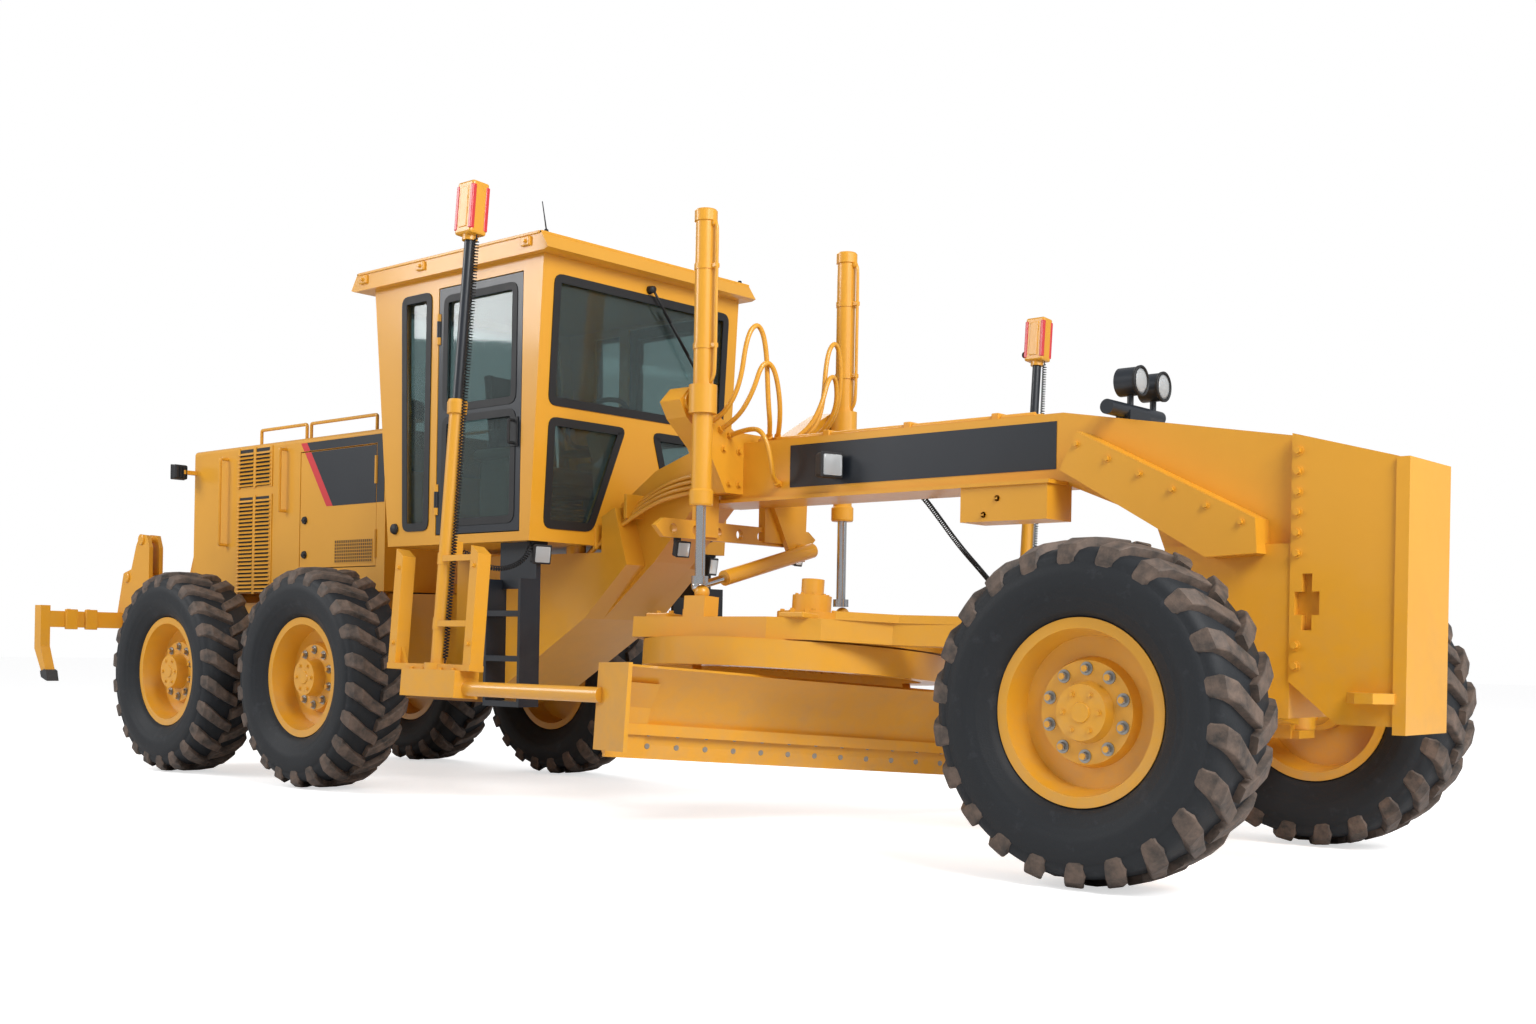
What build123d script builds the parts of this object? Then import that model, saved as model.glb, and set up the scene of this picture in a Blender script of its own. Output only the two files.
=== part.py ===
# Motor grader: front frame with cab, articulated rear frame with tandem drive,
# drawbar, circle and moldboard with two levelling masts, and a rear ripper.
# Sizes are in millimetres. X runs forward, Y to the machine's left, Z up.
# While it is being modelled, X is 0 at the front axle and Z is 0 on the ground.
# Each piece is moved on export, so that the origin is the push face's centre.
import os
from math import asin, cos, radians, sin, tan

from build123d import *

# Wheels
TYRE_RADIUS = 640
TYRE_WIDTH = 400
BEAD_RADIUS = 322
BEAD_HALF = 126
RIM_WALL = 16
RIM_LIP = 24
FRONT_DISC_DEPTH = 110
REAR_DISC_DEPTH = 140
HUB_RADIUS = 115
STUD_CIRCLE = 160
STUD_COUNT = 10
SPINDLE_RADIUS = 45
PIN_CLEARANCE = 0.1
SEAT_GAP = 0.3
FRONT_TRACK = 2040
REAR_TRACK = 1880
TANDEM_X = -5950
TANDEM_SPACING = 1550
TANDEM_OUTER = 700
TANDEM_INNER = 520
TANDEM_RADIUS = 175

# Steering
KINGPIN_Y = 730
KINGPIN_RADIUS = 38
KNUCKLE_HALF_HEIGHT = 105
YOKE_PLATE = 36
STEER_ARM_X = -250
STEER_ARM_Y = 730
TIE_ROD_Z = 490
TIE_ROD_RADIUS = 22

# Main frame
BEAM_HALF = 150
BEAM_TOP = 1905
BEAM_BOTTOM = 1600
FLANGE_HALF = 172
VALVE_BOX = (-1130, -680, -300, -100, 1430)
HITCH_X = -4950
HITCH_PIN_RADIUS = 45
HITCH_LUG_RADIUS = 130
HITCH_TOP = 1150
HITCH_BOTTOM = 700
LUG_GAP = 6
LUG_THICK = 60
BOLSTER_HALF = 190
AXLE_PIVOT_Z = 700

# Push block
PUSH_FACE_X = 830
PUSH_HALF = 200
PUSH_BOTTOM = 570
PUSH_TOP = 1610
PUSH_PLATE = 50
PUSH_BACK_X = 366
TIE_DOWN_X = 700
TIE_DOWN_Y = 250
TIE_DOWN_Z = 705
TIE_DOWN_RADIUS = 24

# Cab
CAB_HALF = 750
CAB_WALL = 50
CAB_FLOOR = 1400
CAB_TOP = 2900
CAB_FRONT_LOW = -3560
CAB_FRONT_HIGH = -3480
CAB_REAR_LOW = -4810
CAB_REAR_HIGH = -4980
ROOF_THICK = 100
ROOF_FRONT = -3390
ROOF_REAR = -5150
ROOF_HALF = 800
DOOR_REAR = -4370
DOOR_FRONT = -3640
DOOR_BOTTOM = 1450
DOOR_TOP = 2830
DOOR_THICK = 40
DOOR_GAP = 6
DOOR_FRAME = 60
PANE = 8

# Hood
HOOD_HALF = 500
HOOD_WALL = 40
HOOD_FRONT = -5200
HOOD_REAR = -7450
HOOD_TOP = 2150
HOOD_BOTTOM = 1160
SIDE_DOOR_FRONT = -5290
SIDE_DOOR_REAR = -6130
SIDE_DOOR_BOTTOM = 1310
SIDE_DOOR_TOP = 2060
RAIL_INNER = 300
RAIL_OUTER = 400
RAIL_TOP = 1100
RAIL_BOTTOM = 850
TOW_X = -7640
TOW_LOW = 780
TOW_HIGH = 900
TOW_PLATE = 30
TOW_RADIUS = 30

# Blade group, level before it is tilted about the drawbar's ball
BALL_X = -400
BALL_Z = 850
BALL_RADIUS = 75
TILT = -4
CIRCLE_X = -2350
CIRCLE_OUTER = 770
CIRCLE_INNER = 650
TOOTH_TIP = 612
TOOTH_ROOT = 640
TOOTH_COUNT = 64
PINION_X = -2000
PINION_Y = -300
PINION_RADIUS = 130
CIRCLE_BOTTOM = 720
CIRCLE_TOP = 850
DRAWBAR_BOTTOM = 858
DRAWBAR_TOP = 960
BLADE_ANGLE = 72
BLADE_LENGTH = 3660
BLADE_NEAR = -1172
BLADE_CHORD = 460
BLADE_PITCH = 30
BLADE_THICK = 22
EDGE_RISE = 150
EDGE_DROP = 14
EDGE_THICK = 16
BLADE_BULGE = 62
EDGE_AHEAD = 307
EDGE_Z = 275
TIP_AHEAD = 175
TIP_Z = 395
TIP_RADIUS = 35
LEG_ALONG = 620

# Lift and centre-shift cylinders
LIFT_X = -2500
LIFT_Y = 550
LIFT_EYE_Z = 1085
LIFT_TRUNNION_Z = 2070
LIFT_TOP_Z = 2990
LIFT_BARREL_END_Z = 1560
LIFT_BARREL_RADIUS = 50
LIFT_ROD_RADIUS = 25
YOKE_X = -2660
YOKE_HALF = 70
LINK_BAR_X = -2775
LINK_BAR_Z = 1450
SHIFT_X = -2640
SHIFT_PIVOT_Y = 430
SHIFT_PIVOT_Z = 1380
SHIFT_EYE_Y = -435
SHIFT_EYE_Z = 1130
SHIFT_BALL_RADIUS = 36
SHIFT_POST_GAP = 9
COLLAR_THICK = 14
SHIFT_RADIUS = 40
SHIFT_ROD_RADIUS = 20

# Levelling masts: bar start, then mast foot, right side first
MAST_RADIUS = 38
POLE_RADIUS = 27
MAST_TOP = 2000
POLE_TOP = 2860
POLE_OVERLAP = 700
RECEIVER_HEIGHT = 270
RECEIVER_HALF_X = 66
RECEIVER_HALF_Y = 52
GUARD_BACK = -370
GUARD_FRONT = 250
GUARD_TOP = 1250
GUARD_BASE = 655
MAST_BAR_Z = 540
MAST_BAR_RADIUS = 36
MAST_FEET = {-1: ((-2440, -1225), (-3640, -1250)), 1: ((-1320, 2290), (-2500, 2330))}
CORD_RADIUS = 15
CORD_OFFSET = 60
RAIL_AHEAD = 255
RAIL_HALF = 25

# Ripper
RIPPER_PIVOT_X = -7620
RIPPER_PIVOT_Z = 860
RIPPER_TOP_RISE = 330
RIPPER_REACH = 1180
RIPPER_RISE = 120
RIPPER_BEAM_HALF = 850
RIPPER_ARM_Y = 240
RIPPER_TOWER_RISE = 640

JUNCTION_Z = 1240
JUNCTION_REACH = 75
JUNCTION_HALF = 45

# Sagging cords from the machine towards each mast's junction box
BRIDGE_ROUTES = {
    -1: [(-3605, -700, 1397.4), (-3603, -708, 1345), (-3600, -770, 1280), (-3604, -880, 1240),
         (-3616, -1000, 1250)],
    1: [(-1750, 152.4, 1655), (-1752, 230, 1645), (-1765, 380, 1560), (-1790, 640, 1400),
        (-1850, 960, 1270), (-1990, 1340, 1170), (-2190, 1750, 1110), (-2400, 2060, 1110)],
}

# Head lamp tube's place along the beam and its height
LAMP_TUBE = (-440, 1900)

# Hinges of the cab doors and the engine doors
HINGE_RADIUS = 14
HINGE_LENGTH = 90
CAB_HINGES = (1650, 2600)
HOOD_HINGES = (1450, 1900)

ORIGIN = (PUSH_FACE_X, 0, (PUSH_BOTTOM + PUSH_TOP) / 2)


def box(x0, x1, y0, y1, z0, z1):
    """A block between two corners."""
    return Pos((x0 + x1) / 2, (y0 + y1) / 2, (z0 + z1) / 2) * Box(x1 - x0, y1 - y0, z1 - z0)


def side_plate(points, y0, y1):
    """An outline of (x, z) points, as thick as y0 to y1."""
    face = make_face(Polyline(*[(x, y0, z) for x, z in points], close=True))
    return extrude(face, amount=y1 - y0, dir=(0, 1, 0))


def flat_plate(points, z0, z1):
    """An outline of (x, y) points, as thick as z0 to z1."""
    face = make_face(Polyline(*[(x, y, z0) for x, y in points], close=True))
    return extrude(face, amount=z1 - z0, dir=(0, 0, 1))


def cross_plate(points, x0, x1):
    """An outline of (y, z) points, as thick as x0 to x1."""
    face = make_face(Polyline(*[(x0, y, z) for y, z in points], close=True))
    return extrude(face, amount=x1 - x0, dir=(1, 0, 0))


def rod(start, end, radius):
    """A round bar from one point to another."""
    a, b = Vector(*start), Vector(*end)
    base = Plane(origin=a, z_dir=b - a)
    return base * Cylinder(radius, (b - a).length, align=(Align.CENTER, Align.CENTER, Align.MIN))


def ring(start, end, outer, inner):
    """A round bar with a bore."""
    return rod(start, end, outer) - rod(start, end, inner)


def mirrored(piece):
    """The same piece on the other side of the machine."""
    return mirror(piece, about=Plane.XZ)


def tilted(piece):
    """The blade group leans about the drawbar's ball, right side up."""
    return Pos(0, 0, BALL_Z) * Rot(X=TILT) * Pos(0, 0, -BALL_Z) * piece


def tilted_point(x, y, z):
    """Where a point of the level blade group comes to lie."""
    lean = radians(TILT)
    up = z - BALL_Z
    return Vector(x, y * cos(lean) - up * sin(lean), BALL_Z + y * sin(lean) + up * cos(lean))


def on_blade(piece):
    """From X along the blade, Y ahead to the rear and Z up to its place under the frame."""
    return tilted(Pos(CIRCLE_X, 0, 0) * Rot(Z=BLADE_ANGLE) * piece)


def save(name, *pieces):
    """Write one node; its solids stay as they are."""
    solids = []
    for piece in pieces:
        solids += (Pos(*[-v for v in ORIGIN]) * piece).solids()
    export_step(Compound(solids), f"parts/{name}.step")


def tyre(x, y):
    """A tyre with bulged walls, on its wheel's centre."""
    half = TYRE_WIDTH / 2
    wall = BEAD_RADIUS + 160
    shoulder = TYRE_RADIUS - 45
    bead_top = BEAD_RADIUS + RIM_LIP + 6
    with BuildSketch(Plane.XY) as section:
        with BuildLine():
            bead = Line((BEAD_RADIUS, -BEAD_HALF), (BEAD_RADIUS, BEAD_HALF))
            foot = Line(bead @ 1, (bead_top, BEAD_HALF))
            up = ThreePointArc(foot @ 1, (bead_top + 55, half - 25), (wall, half))
            side = Line(up @ 1, (shoulder, half - 8))
            crown = ThreePointArc(side @ 1, (TYRE_RADIUS, 0), (shoulder, 8 - half))
            down = Line(crown @ 1, (wall, -half))
            back = ThreePointArc(down @ 1, (bead_top + 55, 25 - half), (bead_top, -BEAD_HALF))
            Line(back @ 1, bead @ 0)
        make_face()
    return Pos(x, y, TYRE_RADIUS) * revolve(section.sketch, Axis.Y)


def rim(x, y, out, disc_depth):
    """A rim with its disc, hub cap and studs; out is 1 on the left, -1 on the right."""
    drum = BEAD_RADIUS - SEAT_GAP
    inner = drum - RIM_WALL
    lip = BEAD_HALF + SEAT_GAP
    face = lip - disc_depth
    bore = SPINDLE_RADIUS + PIN_CLEARANCE
    outline = [
        (inner, -lip - 8),
        (drum + RIM_LIP, -lip - 8),
        (drum + RIM_LIP, -lip),
        (drum, -lip),
        (drum, lip),
        (drum + RIM_LIP, lip),
        (drum + RIM_LIP, lip + 8),
        (inner, lip + 8),
        (inner - 25, face + 18),
        (STUD_CIRCLE + 45, face + 18),
        (STUD_CIRCLE + 30, face + 60),
        (HUB_RADIUS, face + 60),
        (HUB_RADIUS - 12, lip - 10),
        (0, lip - 10),
        (0, face + 40),
        (bore, face + 40),
        (bore, face - 60),
        (HUB_RADIUS, face - 60),
        (HUB_RADIUS, face),
        (inner - 25, face),
    ]
    wheel = revolve(make_face(Polyline(*[(r, w, 0) for r, w in outline], close=True)), Axis.Y)
    for k in range(STUD_COUNT):
        turn = radians(360 * k / STUD_COUNT + 18)
        at = (STUD_CIRCLE * cos(turn), STUD_CIRCLE * sin(turn))
        wheel += rod((at[0], face + 50, at[1]), (at[0], face + 84, at[1]), 12)
    return Pos(x, y, TYRE_RADIUS) * (wheel if out > 0 else mirrored(wheel))


def front_axle():
    """The axle beam on its centre pivot, a yoke for each kingpin, and the steering cylinders."""
    reach = KINGPIN_Y - 155
    beam = cross_plate(
        [(-reach, 560), (-300, 600), (300, 600), (reach, 560), (reach, 720), (300, 800),
         (-300, 800), (-reach, 720)], -75, 75)
    inside = KNUCKLE_HALF_HEIGHT + 1
    for side in (1, -1):
        y0, y1 = sorted((side * 580, side * KINGPIN_Y))
        for z0 in (TYRE_RADIUS + inside, TYRE_RADIUS - inside - YOKE_PLATE):
            beam += box(-75, 75, y0, y1, z0, z0 + YOKE_PLATE)
            beam += rod((0, side * KINGPIN_Y, z0), (0, side * KINGPIN_Y, z0 + YOKE_PLATE), 75)
        web0, web1 = sorted((side * 560, side * (KINGPIN_Y - 128)))
        beam += box(-44, 44, web0, web1, TYRE_RADIUS - inside - YOKE_PLATE,
                    TYRE_RADIUS + inside + YOKE_PLATE)
        beam += rod((0, side * KINGPIN_Y, TYRE_RADIUS - inside - 1),
                    (0, side * KINGPIN_Y, TYRE_RADIUS + inside + 1), KINGPIN_RADIUS)
    beam -= rod((-80, 0, AXLE_PIVOT_Z), (80, 0, AXLE_PIVOT_Z), 60)
    pivot = rod((-180, 0, AXLE_PIVOT_Z), (180, 0, AXLE_PIVOT_Z), 60 - SEAT_GAP)
    cylinders = []
    for side in (1, -1):
        z = TYRE_RADIUS
        inner, outer = sorted((side * 218, side * 262))
        cylinder = rod((118, side * 215, z), (118, side * 430, z), 34)
        cylinder += rod((118, side * 425, z), (118, side * 570, z), 18)
        cylinder += box(75 + SEAT_GAP, 118, inner, outer, z - 30, z + 30)
        cylinders.append(cylinder)
    return [beam, pivot] + cylinders


def steer_knuckle(side):
    """A knuckle with its wheel spindle and steering arm."""
    low, high = TYRE_RADIUS - KNUCKLE_HALF_HEIGHT, TYRE_RADIUS + KNUCKLE_HALF_HEIGHT
    tip = FRONT_TRACK / 2 + BEAD_HALF - FRONT_DISC_DEPTH + 36
    knuckle = rod((0, KINGPIN_Y, low), (0, KINGPIN_Y, high), 78)
    knuckle += rod((0, KINGPIN_Y + 40, TYRE_RADIUS), (0, 905, TYRE_RADIUS), 95)
    knuckle += rod((0, 900, TYRE_RADIUS), (0, tip, TYRE_RADIUS), SPINDLE_RADIUS)
    arm = flat_plate([(-20, KINGPIN_Y - 50), (-20, KINGPIN_Y + 50), (STEER_ARM_X, STEER_ARM_Y + 35),
                      (STEER_ARM_X, STEER_ARM_Y - 35)], low, low + 34)
    arm += rod((STEER_ARM_X, STEER_ARM_Y, low), (STEER_ARM_X, STEER_ARM_Y, low + 34), 38)
    knuckle += arm
    knuckle -= rod((0, KINGPIN_Y, low - 1), (0, KINGPIN_Y, high + 1), KINGPIN_RADIUS + PIN_CLEARANCE)
    return knuckle if side > 0 else mirrored(knuckle)


def tie_rod():
    """The rod between both steering arms, with a stud up to each."""
    bar = rod((STEER_ARM_X, -STEER_ARM_Y, TIE_ROD_Z), (STEER_ARM_X, STEER_ARM_Y, TIE_ROD_Z),
              TIE_ROD_RADIUS)
    arm_low = TYRE_RADIUS - KNUCKLE_HALF_HEIGHT
    for y in (STEER_ARM_Y, -STEER_ARM_Y):
        bar += rod((STEER_ARM_X, y, TIE_ROD_Z - 30), (STEER_ARM_X, y, arm_low - SEAT_GAP), 28)
    return bar


def hitch_lugs():
    """The front frame's two plates and pin for the articulation."""
    low, high = HITCH_BOTTOM - LUG_GAP, HITCH_TOP + LUG_GAP
    lugs = rod((HITCH_X, 0, low - LUG_THICK - 20), (HITCH_X, 0, high + LUG_THICK + 20), HITCH_PIN_RADIUS)
    for z in (high, low - LUG_THICK):
        lugs += box(HITCH_X, -4740, -HITCH_LUG_RADIUS, HITCH_LUG_RADIUS, z, z + LUG_THICK)
        lugs += rod((HITCH_X, 0, z), (HITCH_X, 0, z + LUG_THICK), HITCH_LUG_RADIUS)
    return lugs


def front_frame():
    """Beam, front drop to the axle, gooseneck and the cab carrier with the hitch."""
    nose = PUSH_BACK_X - SEAT_GAP
    spine = side_plate(
        [(nose, 1725), (-700, BEAM_TOP), (-2900, BEAM_TOP), (-3230, 1800), (-3630, 1550),
         (-3960, 1340), (-3960, 1000), (-3630, 1000), (-3230, 1310), (-2930, BEAM_BOTTOM),
         (-700, BEAM_BOTTOM), (-250, 1420), (-180, 1240), (nose, 1240)], -BEAM_HALF, BEAM_HALF)
    bolster = box(-180, -82, -BOLSTER_HALF, BOLSTER_HALF, 615, 1300)
    bolster += box(82, nose, -BOLSTER_HALF, BOLSTER_HALF, 615, 1300)
    bolster += box(-180, nose, -BOLSTER_HALF, BOLSTER_HALF, 860, 1300)
    bolster -= rod((-190, 0, AXLE_PIVOT_Z), (190, 0, AXLE_PIVOT_Z), 60)
    cheeks = side_plate(
        [(-3400, 1600), (-3960, 1340), (-4760, HITCH_TOP + 150), (-4760, 600), (-4400, 560),
         (-3630, 1000), (-3300, 1290)], -290, 290)
    cheeks -= side_plate([(-3700, 1330), (-4640, 1100), (-4640, 680), (-4420, 660), (-3700, 1080)],
                         -230, 230)
    carrier = box(-4760, -3700, -290, 290, 1230, CAB_FLOOR - 40)
    frame = spine + bolster + cheeks - box(-5000, CAB_FRONT_LOW + 60, -400, 400, CAB_FLOOR - 40, 2000)
    frame = frame + carrier + hitch_lugs()
    for x in (-3760, -4690):
        for y in (-240, 240):
            frame += rod((x, y, CAB_FLOOR - 41), (x, y, CAB_FLOOR - SEAT_GAP), 55)
    socket = rod((-170, 0, BALL_Z + 60), (BALL_X + 55, 0, BALL_Z), 62)
    frame += socket - Pos(BALL_X, 0, BALL_Z) * Sphere(BALL_RADIUS + SEAT_GAP)
    frame += box(-2900, -740, -FLANGE_HALF, FLANGE_HALF, BEAM_BOTTOM, BEAM_BOTTOM + 18)
    frame += box(*VALVE_BOX, BEAM_BOTTOM + 1)
    frame += box(VALVE_BOX[0] - 12, VALVE_BOX[1] + 12, VALVE_BOX[2] - 12, -BEAM_HALF + 1, BEAM_BOTTOM - 16,
                 BEAM_BOTTOM + 1)
    fairing = side_plate([(-640, 1640), (-560, 1800), (250, 1400), (260, 1260), (40, 1250)], -270, 270)
    return frame + fairing


def push_block():
    """Hollow block bolted to the nose, with a thick front plate."""
    plate_x = PUSH_FACE_X - PUSH_PLATE
    block = side_plate([(PUSH_BACK_X, 760), (PUSH_BACK_X, 1730), (plate_x, 1615),
                        (plate_x, PUSH_BOTTOM + 30), (560, PUSH_BOTTOM + 30)], -PUSH_HALF, PUSH_HALF)
    block += box(plate_x, PUSH_FACE_X, -PUSH_HALF - 15, PUSH_HALF + 15, PUSH_BOTTOM, PUSH_TOP)
    for side in (1, -1):
        y0, y1 = sorted((side * (PUSH_HALF - 40), side * (PUSH_HALF + 40)))
        block -= box(PUSH_BACK_X + 20, PUSH_BACK_X + 120, y0, y1, 1020, 1110)
        block -= box(PUSH_BACK_X + 50, PUSH_BACK_X + 90, y0, y1, 960, 1180)
        lug = flat_plate([(x, side * y) for x, y in ((610, 195), (610, 225), (TIE_DOWN_X - 35, TIE_DOWN_Y + 40),
                                                     (TIE_DOWN_X + 35, TIE_DOWN_Y + 40), (790, 225),
                                                     (790, 195))], TIE_DOWN_Z - 20, TIE_DOWN_Z + 20)
        at = (TIE_DOWN_X, side * TIE_DOWN_Y)
        block += lug - rod((*at, TIE_DOWN_Z - 30), (*at, TIE_DOWN_Z + 30), TIE_DOWN_RADIUS)
    return block


def lift_yoke():
    """Saddle on the beam whose arms reach out behind the lift cylinders."""
    half = BEAM_HALF + SEAT_GAP
    over = BEAM_TOP + SEAT_GAP
    x0, x1 = YOKE_X - YOKE_HALF, YOKE_X + YOKE_HALF
    outline = [(0, over), (half, over), (half, 1640), (280, 1640), (420, 1860), (LIFT_Y + 20, 1990),
               (LIFT_Y + 70, LIFT_TRUNNION_Z), (LIFT_Y, LIFT_TRUNNION_Z + 72),
               (LIFT_Y - 60, LIFT_TRUNNION_Z + 40), (220, over + 50), (0, over + 50)]
    piece = cross_plate(outline, x0, x1)
    piece += mirrored(piece)
    for side in (1, -1):
        at = (side * LIFT_Y, LIFT_TRUNNION_Z)
        piece += rod((x1 - 1, *at), (LIFT_X - LIFT_BARREL_RADIUS - 22, *at), 45)
    low = SHIFT_PIVOT_Z - 50
    piece += cross_plate([(200, 1700), (400, 1800), (SHIFT_PIVOT_Y + 60, 1640),
                          (SHIFT_PIVOT_Y + 50, low), (SHIFT_PIVOT_Y - 50, low), (200, 1641)],
                         x0, x0 + 30)
    for side in (1, -1):
        y0, y1 = sorted((side * 180, side * 330))
        piece += box(LINK_BAR_X, x0 + 1, y0, y1, LINK_BAR_Z - 30, 1700)
    bar = cross_plate([(-620, LINK_BAR_Z + 10), (-560, LINK_BAR_Z + 50), (560, LINK_BAR_Z + 50),
                       (620, LINK_BAR_Z + 10), (560, LINK_BAR_Z - 45), (-560, LINK_BAR_Z - 45)],
                      LINK_BAR_X, LINK_BAR_X + 30)
    for k in range(-3, 4):
        bar -= rod((LINK_BAR_X - 1, 165 * k, LINK_BAR_Z), (LINK_BAR_X + 31, 165 * k, LINK_BAR_Z), 26)
    piece += bar
    at = (SHIFT_PIVOT_Y, SHIFT_PIVOT_Z)
    return piece + rod((x0 + 29, *at), (SHIFT_X - SHIFT_RADIUS - COLLAR_THICK - 2 * SEAT_GAP, *at), 24)


def lift_cylinder(side):
    """Long barrel hung in a trunnion at its middle."""
    y = side * LIFT_Y
    barrel = ring((LIFT_X, y, LIFT_BARREL_END_Z), (LIFT_X, y, LIFT_TOP_Z - 30), LIFT_BARREL_RADIUS,
                  LIFT_ROD_RADIUS + PIN_CLEARANCE)
    barrel += rod((LIFT_X, y, LIFT_TOP_Z - 31), (LIFT_X, y, LIFT_TOP_Z), LIFT_BARREL_RADIUS)
    barrel += ring((LIFT_X, y, LIFT_TRUNNION_Z - 70), (LIFT_X, y, LIFT_TRUNNION_Z + 70),
                   LIFT_BARREL_RADIUS + 20, LIFT_BARREL_RADIUS - 1)
    return barrel


def lift_rod(side):
    """Rod up inside the barrel, with a ball socket at its foot."""
    y = side * LIFT_Y
    eye = tilted_point(LIFT_X, y, LIFT_EYE_Z)
    piece = rod((LIFT_X, y, eye.Z + 60), (LIFT_X, y, LIFT_TOP_Z - 420), LIFT_ROD_RADIUS)
    return piece + rod((LIFT_X, y, eye.Z + 40), (LIFT_X, y, eye.Z + 80), 42)


def shift_cylinder():
    """Pivot collar, barrel and rod that swing the drawbar from side to side."""
    start = Vector(SHIFT_X, SHIFT_PIVOT_Y, SHIFT_PIVOT_Z)
    eye = tilted_point(SHIFT_X, SHIFT_EYE_Y, SHIFT_EYE_Z)
    way = (eye - start).normalized()
    face = SHIFT_X - SHIFT_RADIUS - SEAT_GAP
    collar = rod((face - COLLAR_THICK, SHIFT_PIVOT_Y, SHIFT_PIVOT_Z), (face, SHIFT_PIVOT_Y, SHIFT_PIVOT_Z), 42)
    barrel = ring(start + way * 50, eye - way * 195, SHIFT_RADIUS, SHIFT_ROD_RADIUS + PIN_CLEARANCE)
    barrel += rod(start - way * 40, start + way * 60, SHIFT_RADIUS)
    piston = rod(start + way * 214, eye, SHIFT_ROD_RADIUS)
    piston += Pos(*eye) * Sphere(SHIFT_BALL_RADIUS)
    return collar, barrel, piston


def drawbar_ball():
    """The ball that lets the drawbar swing."""
    return Pos(BALL_X, 0, BALL_Z) * Sphere(BALL_RADIUS)


def drawbar():
    """A-shaped drawbar over the circle, with posts for the lift rods."""
    outline = [(BALL_X - 130, 90), (-1500, 300), (-1750, 520), (-2000, 620), (-2900, 620),
               (-3060, 380)]
    plate = flat_plate(outline + [(x, -y) for x, y in reversed(outline)], DRAWBAR_BOTTOM, DRAWBAR_TOP)
    plate -= rod((CIRCLE_X, 0, 800), (CIRCLE_X, 0, 1000), 330)
    plate -= flat_plate([(-1050, 90), (-1480, 180), (-1580, 330), (-1580, -330), (-1480, -180),
                         (-1050, -90)], 800, 1000)
    plate += rod((BALL_X - 90, 0, BALL_Z + 5), (BALL_X - 420, 0, BALL_Z + 55), 85)
    cup = Pos(BALL_X, 0, BALL_Z) * Sphere(BALL_RADIUS + 40)
    cup -= box(BALL_X - 30, BALL_X + 200, -200, 200, BALL_Z - 200, BALL_Z + 200)
    plate = plate + cup - Pos(BALL_X, 0, BALL_Z) * Sphere(BALL_RADIUS + SEAT_GAP)
    for side in (1, -1):
        y = side * LIFT_Y
        plate += box(LIFT_X - 70, LIFT_X + 70, y - 50, y + 50, DRAWBAR_TOP - 1, LIFT_EYE_Z - 20)
        plate += Pos(LIFT_X, y, LIFT_EYE_Z) * Sphere(38)
    plate += rod((PINION_X, PINION_Y, CIRCLE_BOTTOM + 30), (PINION_X, PINION_Y, DRAWBAR_TOP + 60), 62)
    plate += rod((PINION_X, PINION_Y, CIRCLE_BOTTOM + 40), (PINION_X, PINION_Y, CIRCLE_BOTTOM + 95),
                 PINION_RADIUS)
    plate += rod((PINION_X, PINION_Y, DRAWBAR_TOP - 1), (PINION_X, PINION_Y, DRAWBAR_TOP + 45), 165)
    plate += rod((PINION_X, PINION_Y, DRAWBAR_TOP + 44), (PINION_X, PINION_Y, DRAWBAR_TOP + 130), 95)
    plate += rod((PINION_X, PINION_Y, DRAWBAR_TOP + 129), (PINION_X, PINION_Y, DRAWBAR_TOP + 210), 55)
    for side in (1, -1):
        plate += flat_plate([(BALL_X - 330, side * 95), (-1480, side * 260), (-1700, side * 440),
                             (-1700, side * 480), (-1470, side * 300), (BALL_X - 330, side * 125)],
                            DRAWBAR_TOP - 1, DRAWBAR_TOP + 38)
    plate += box(SHIFT_X - 50, SHIFT_X + 50, SHIFT_EYE_Y - 50, SHIFT_EYE_Y + 50, DRAWBAR_TOP - 1,
                 DRAWBAR_TOP + 50)
    post_top = SHIFT_EYE_Z - SHIFT_BALL_RADIUS - SHIFT_POST_GAP
    plate += rod((SHIFT_X, SHIFT_EYE_Y, DRAWBAR_TOP), (SHIFT_X, SHIFT_EYE_Y, post_top), 16)
    return tilted(plate)


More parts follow.
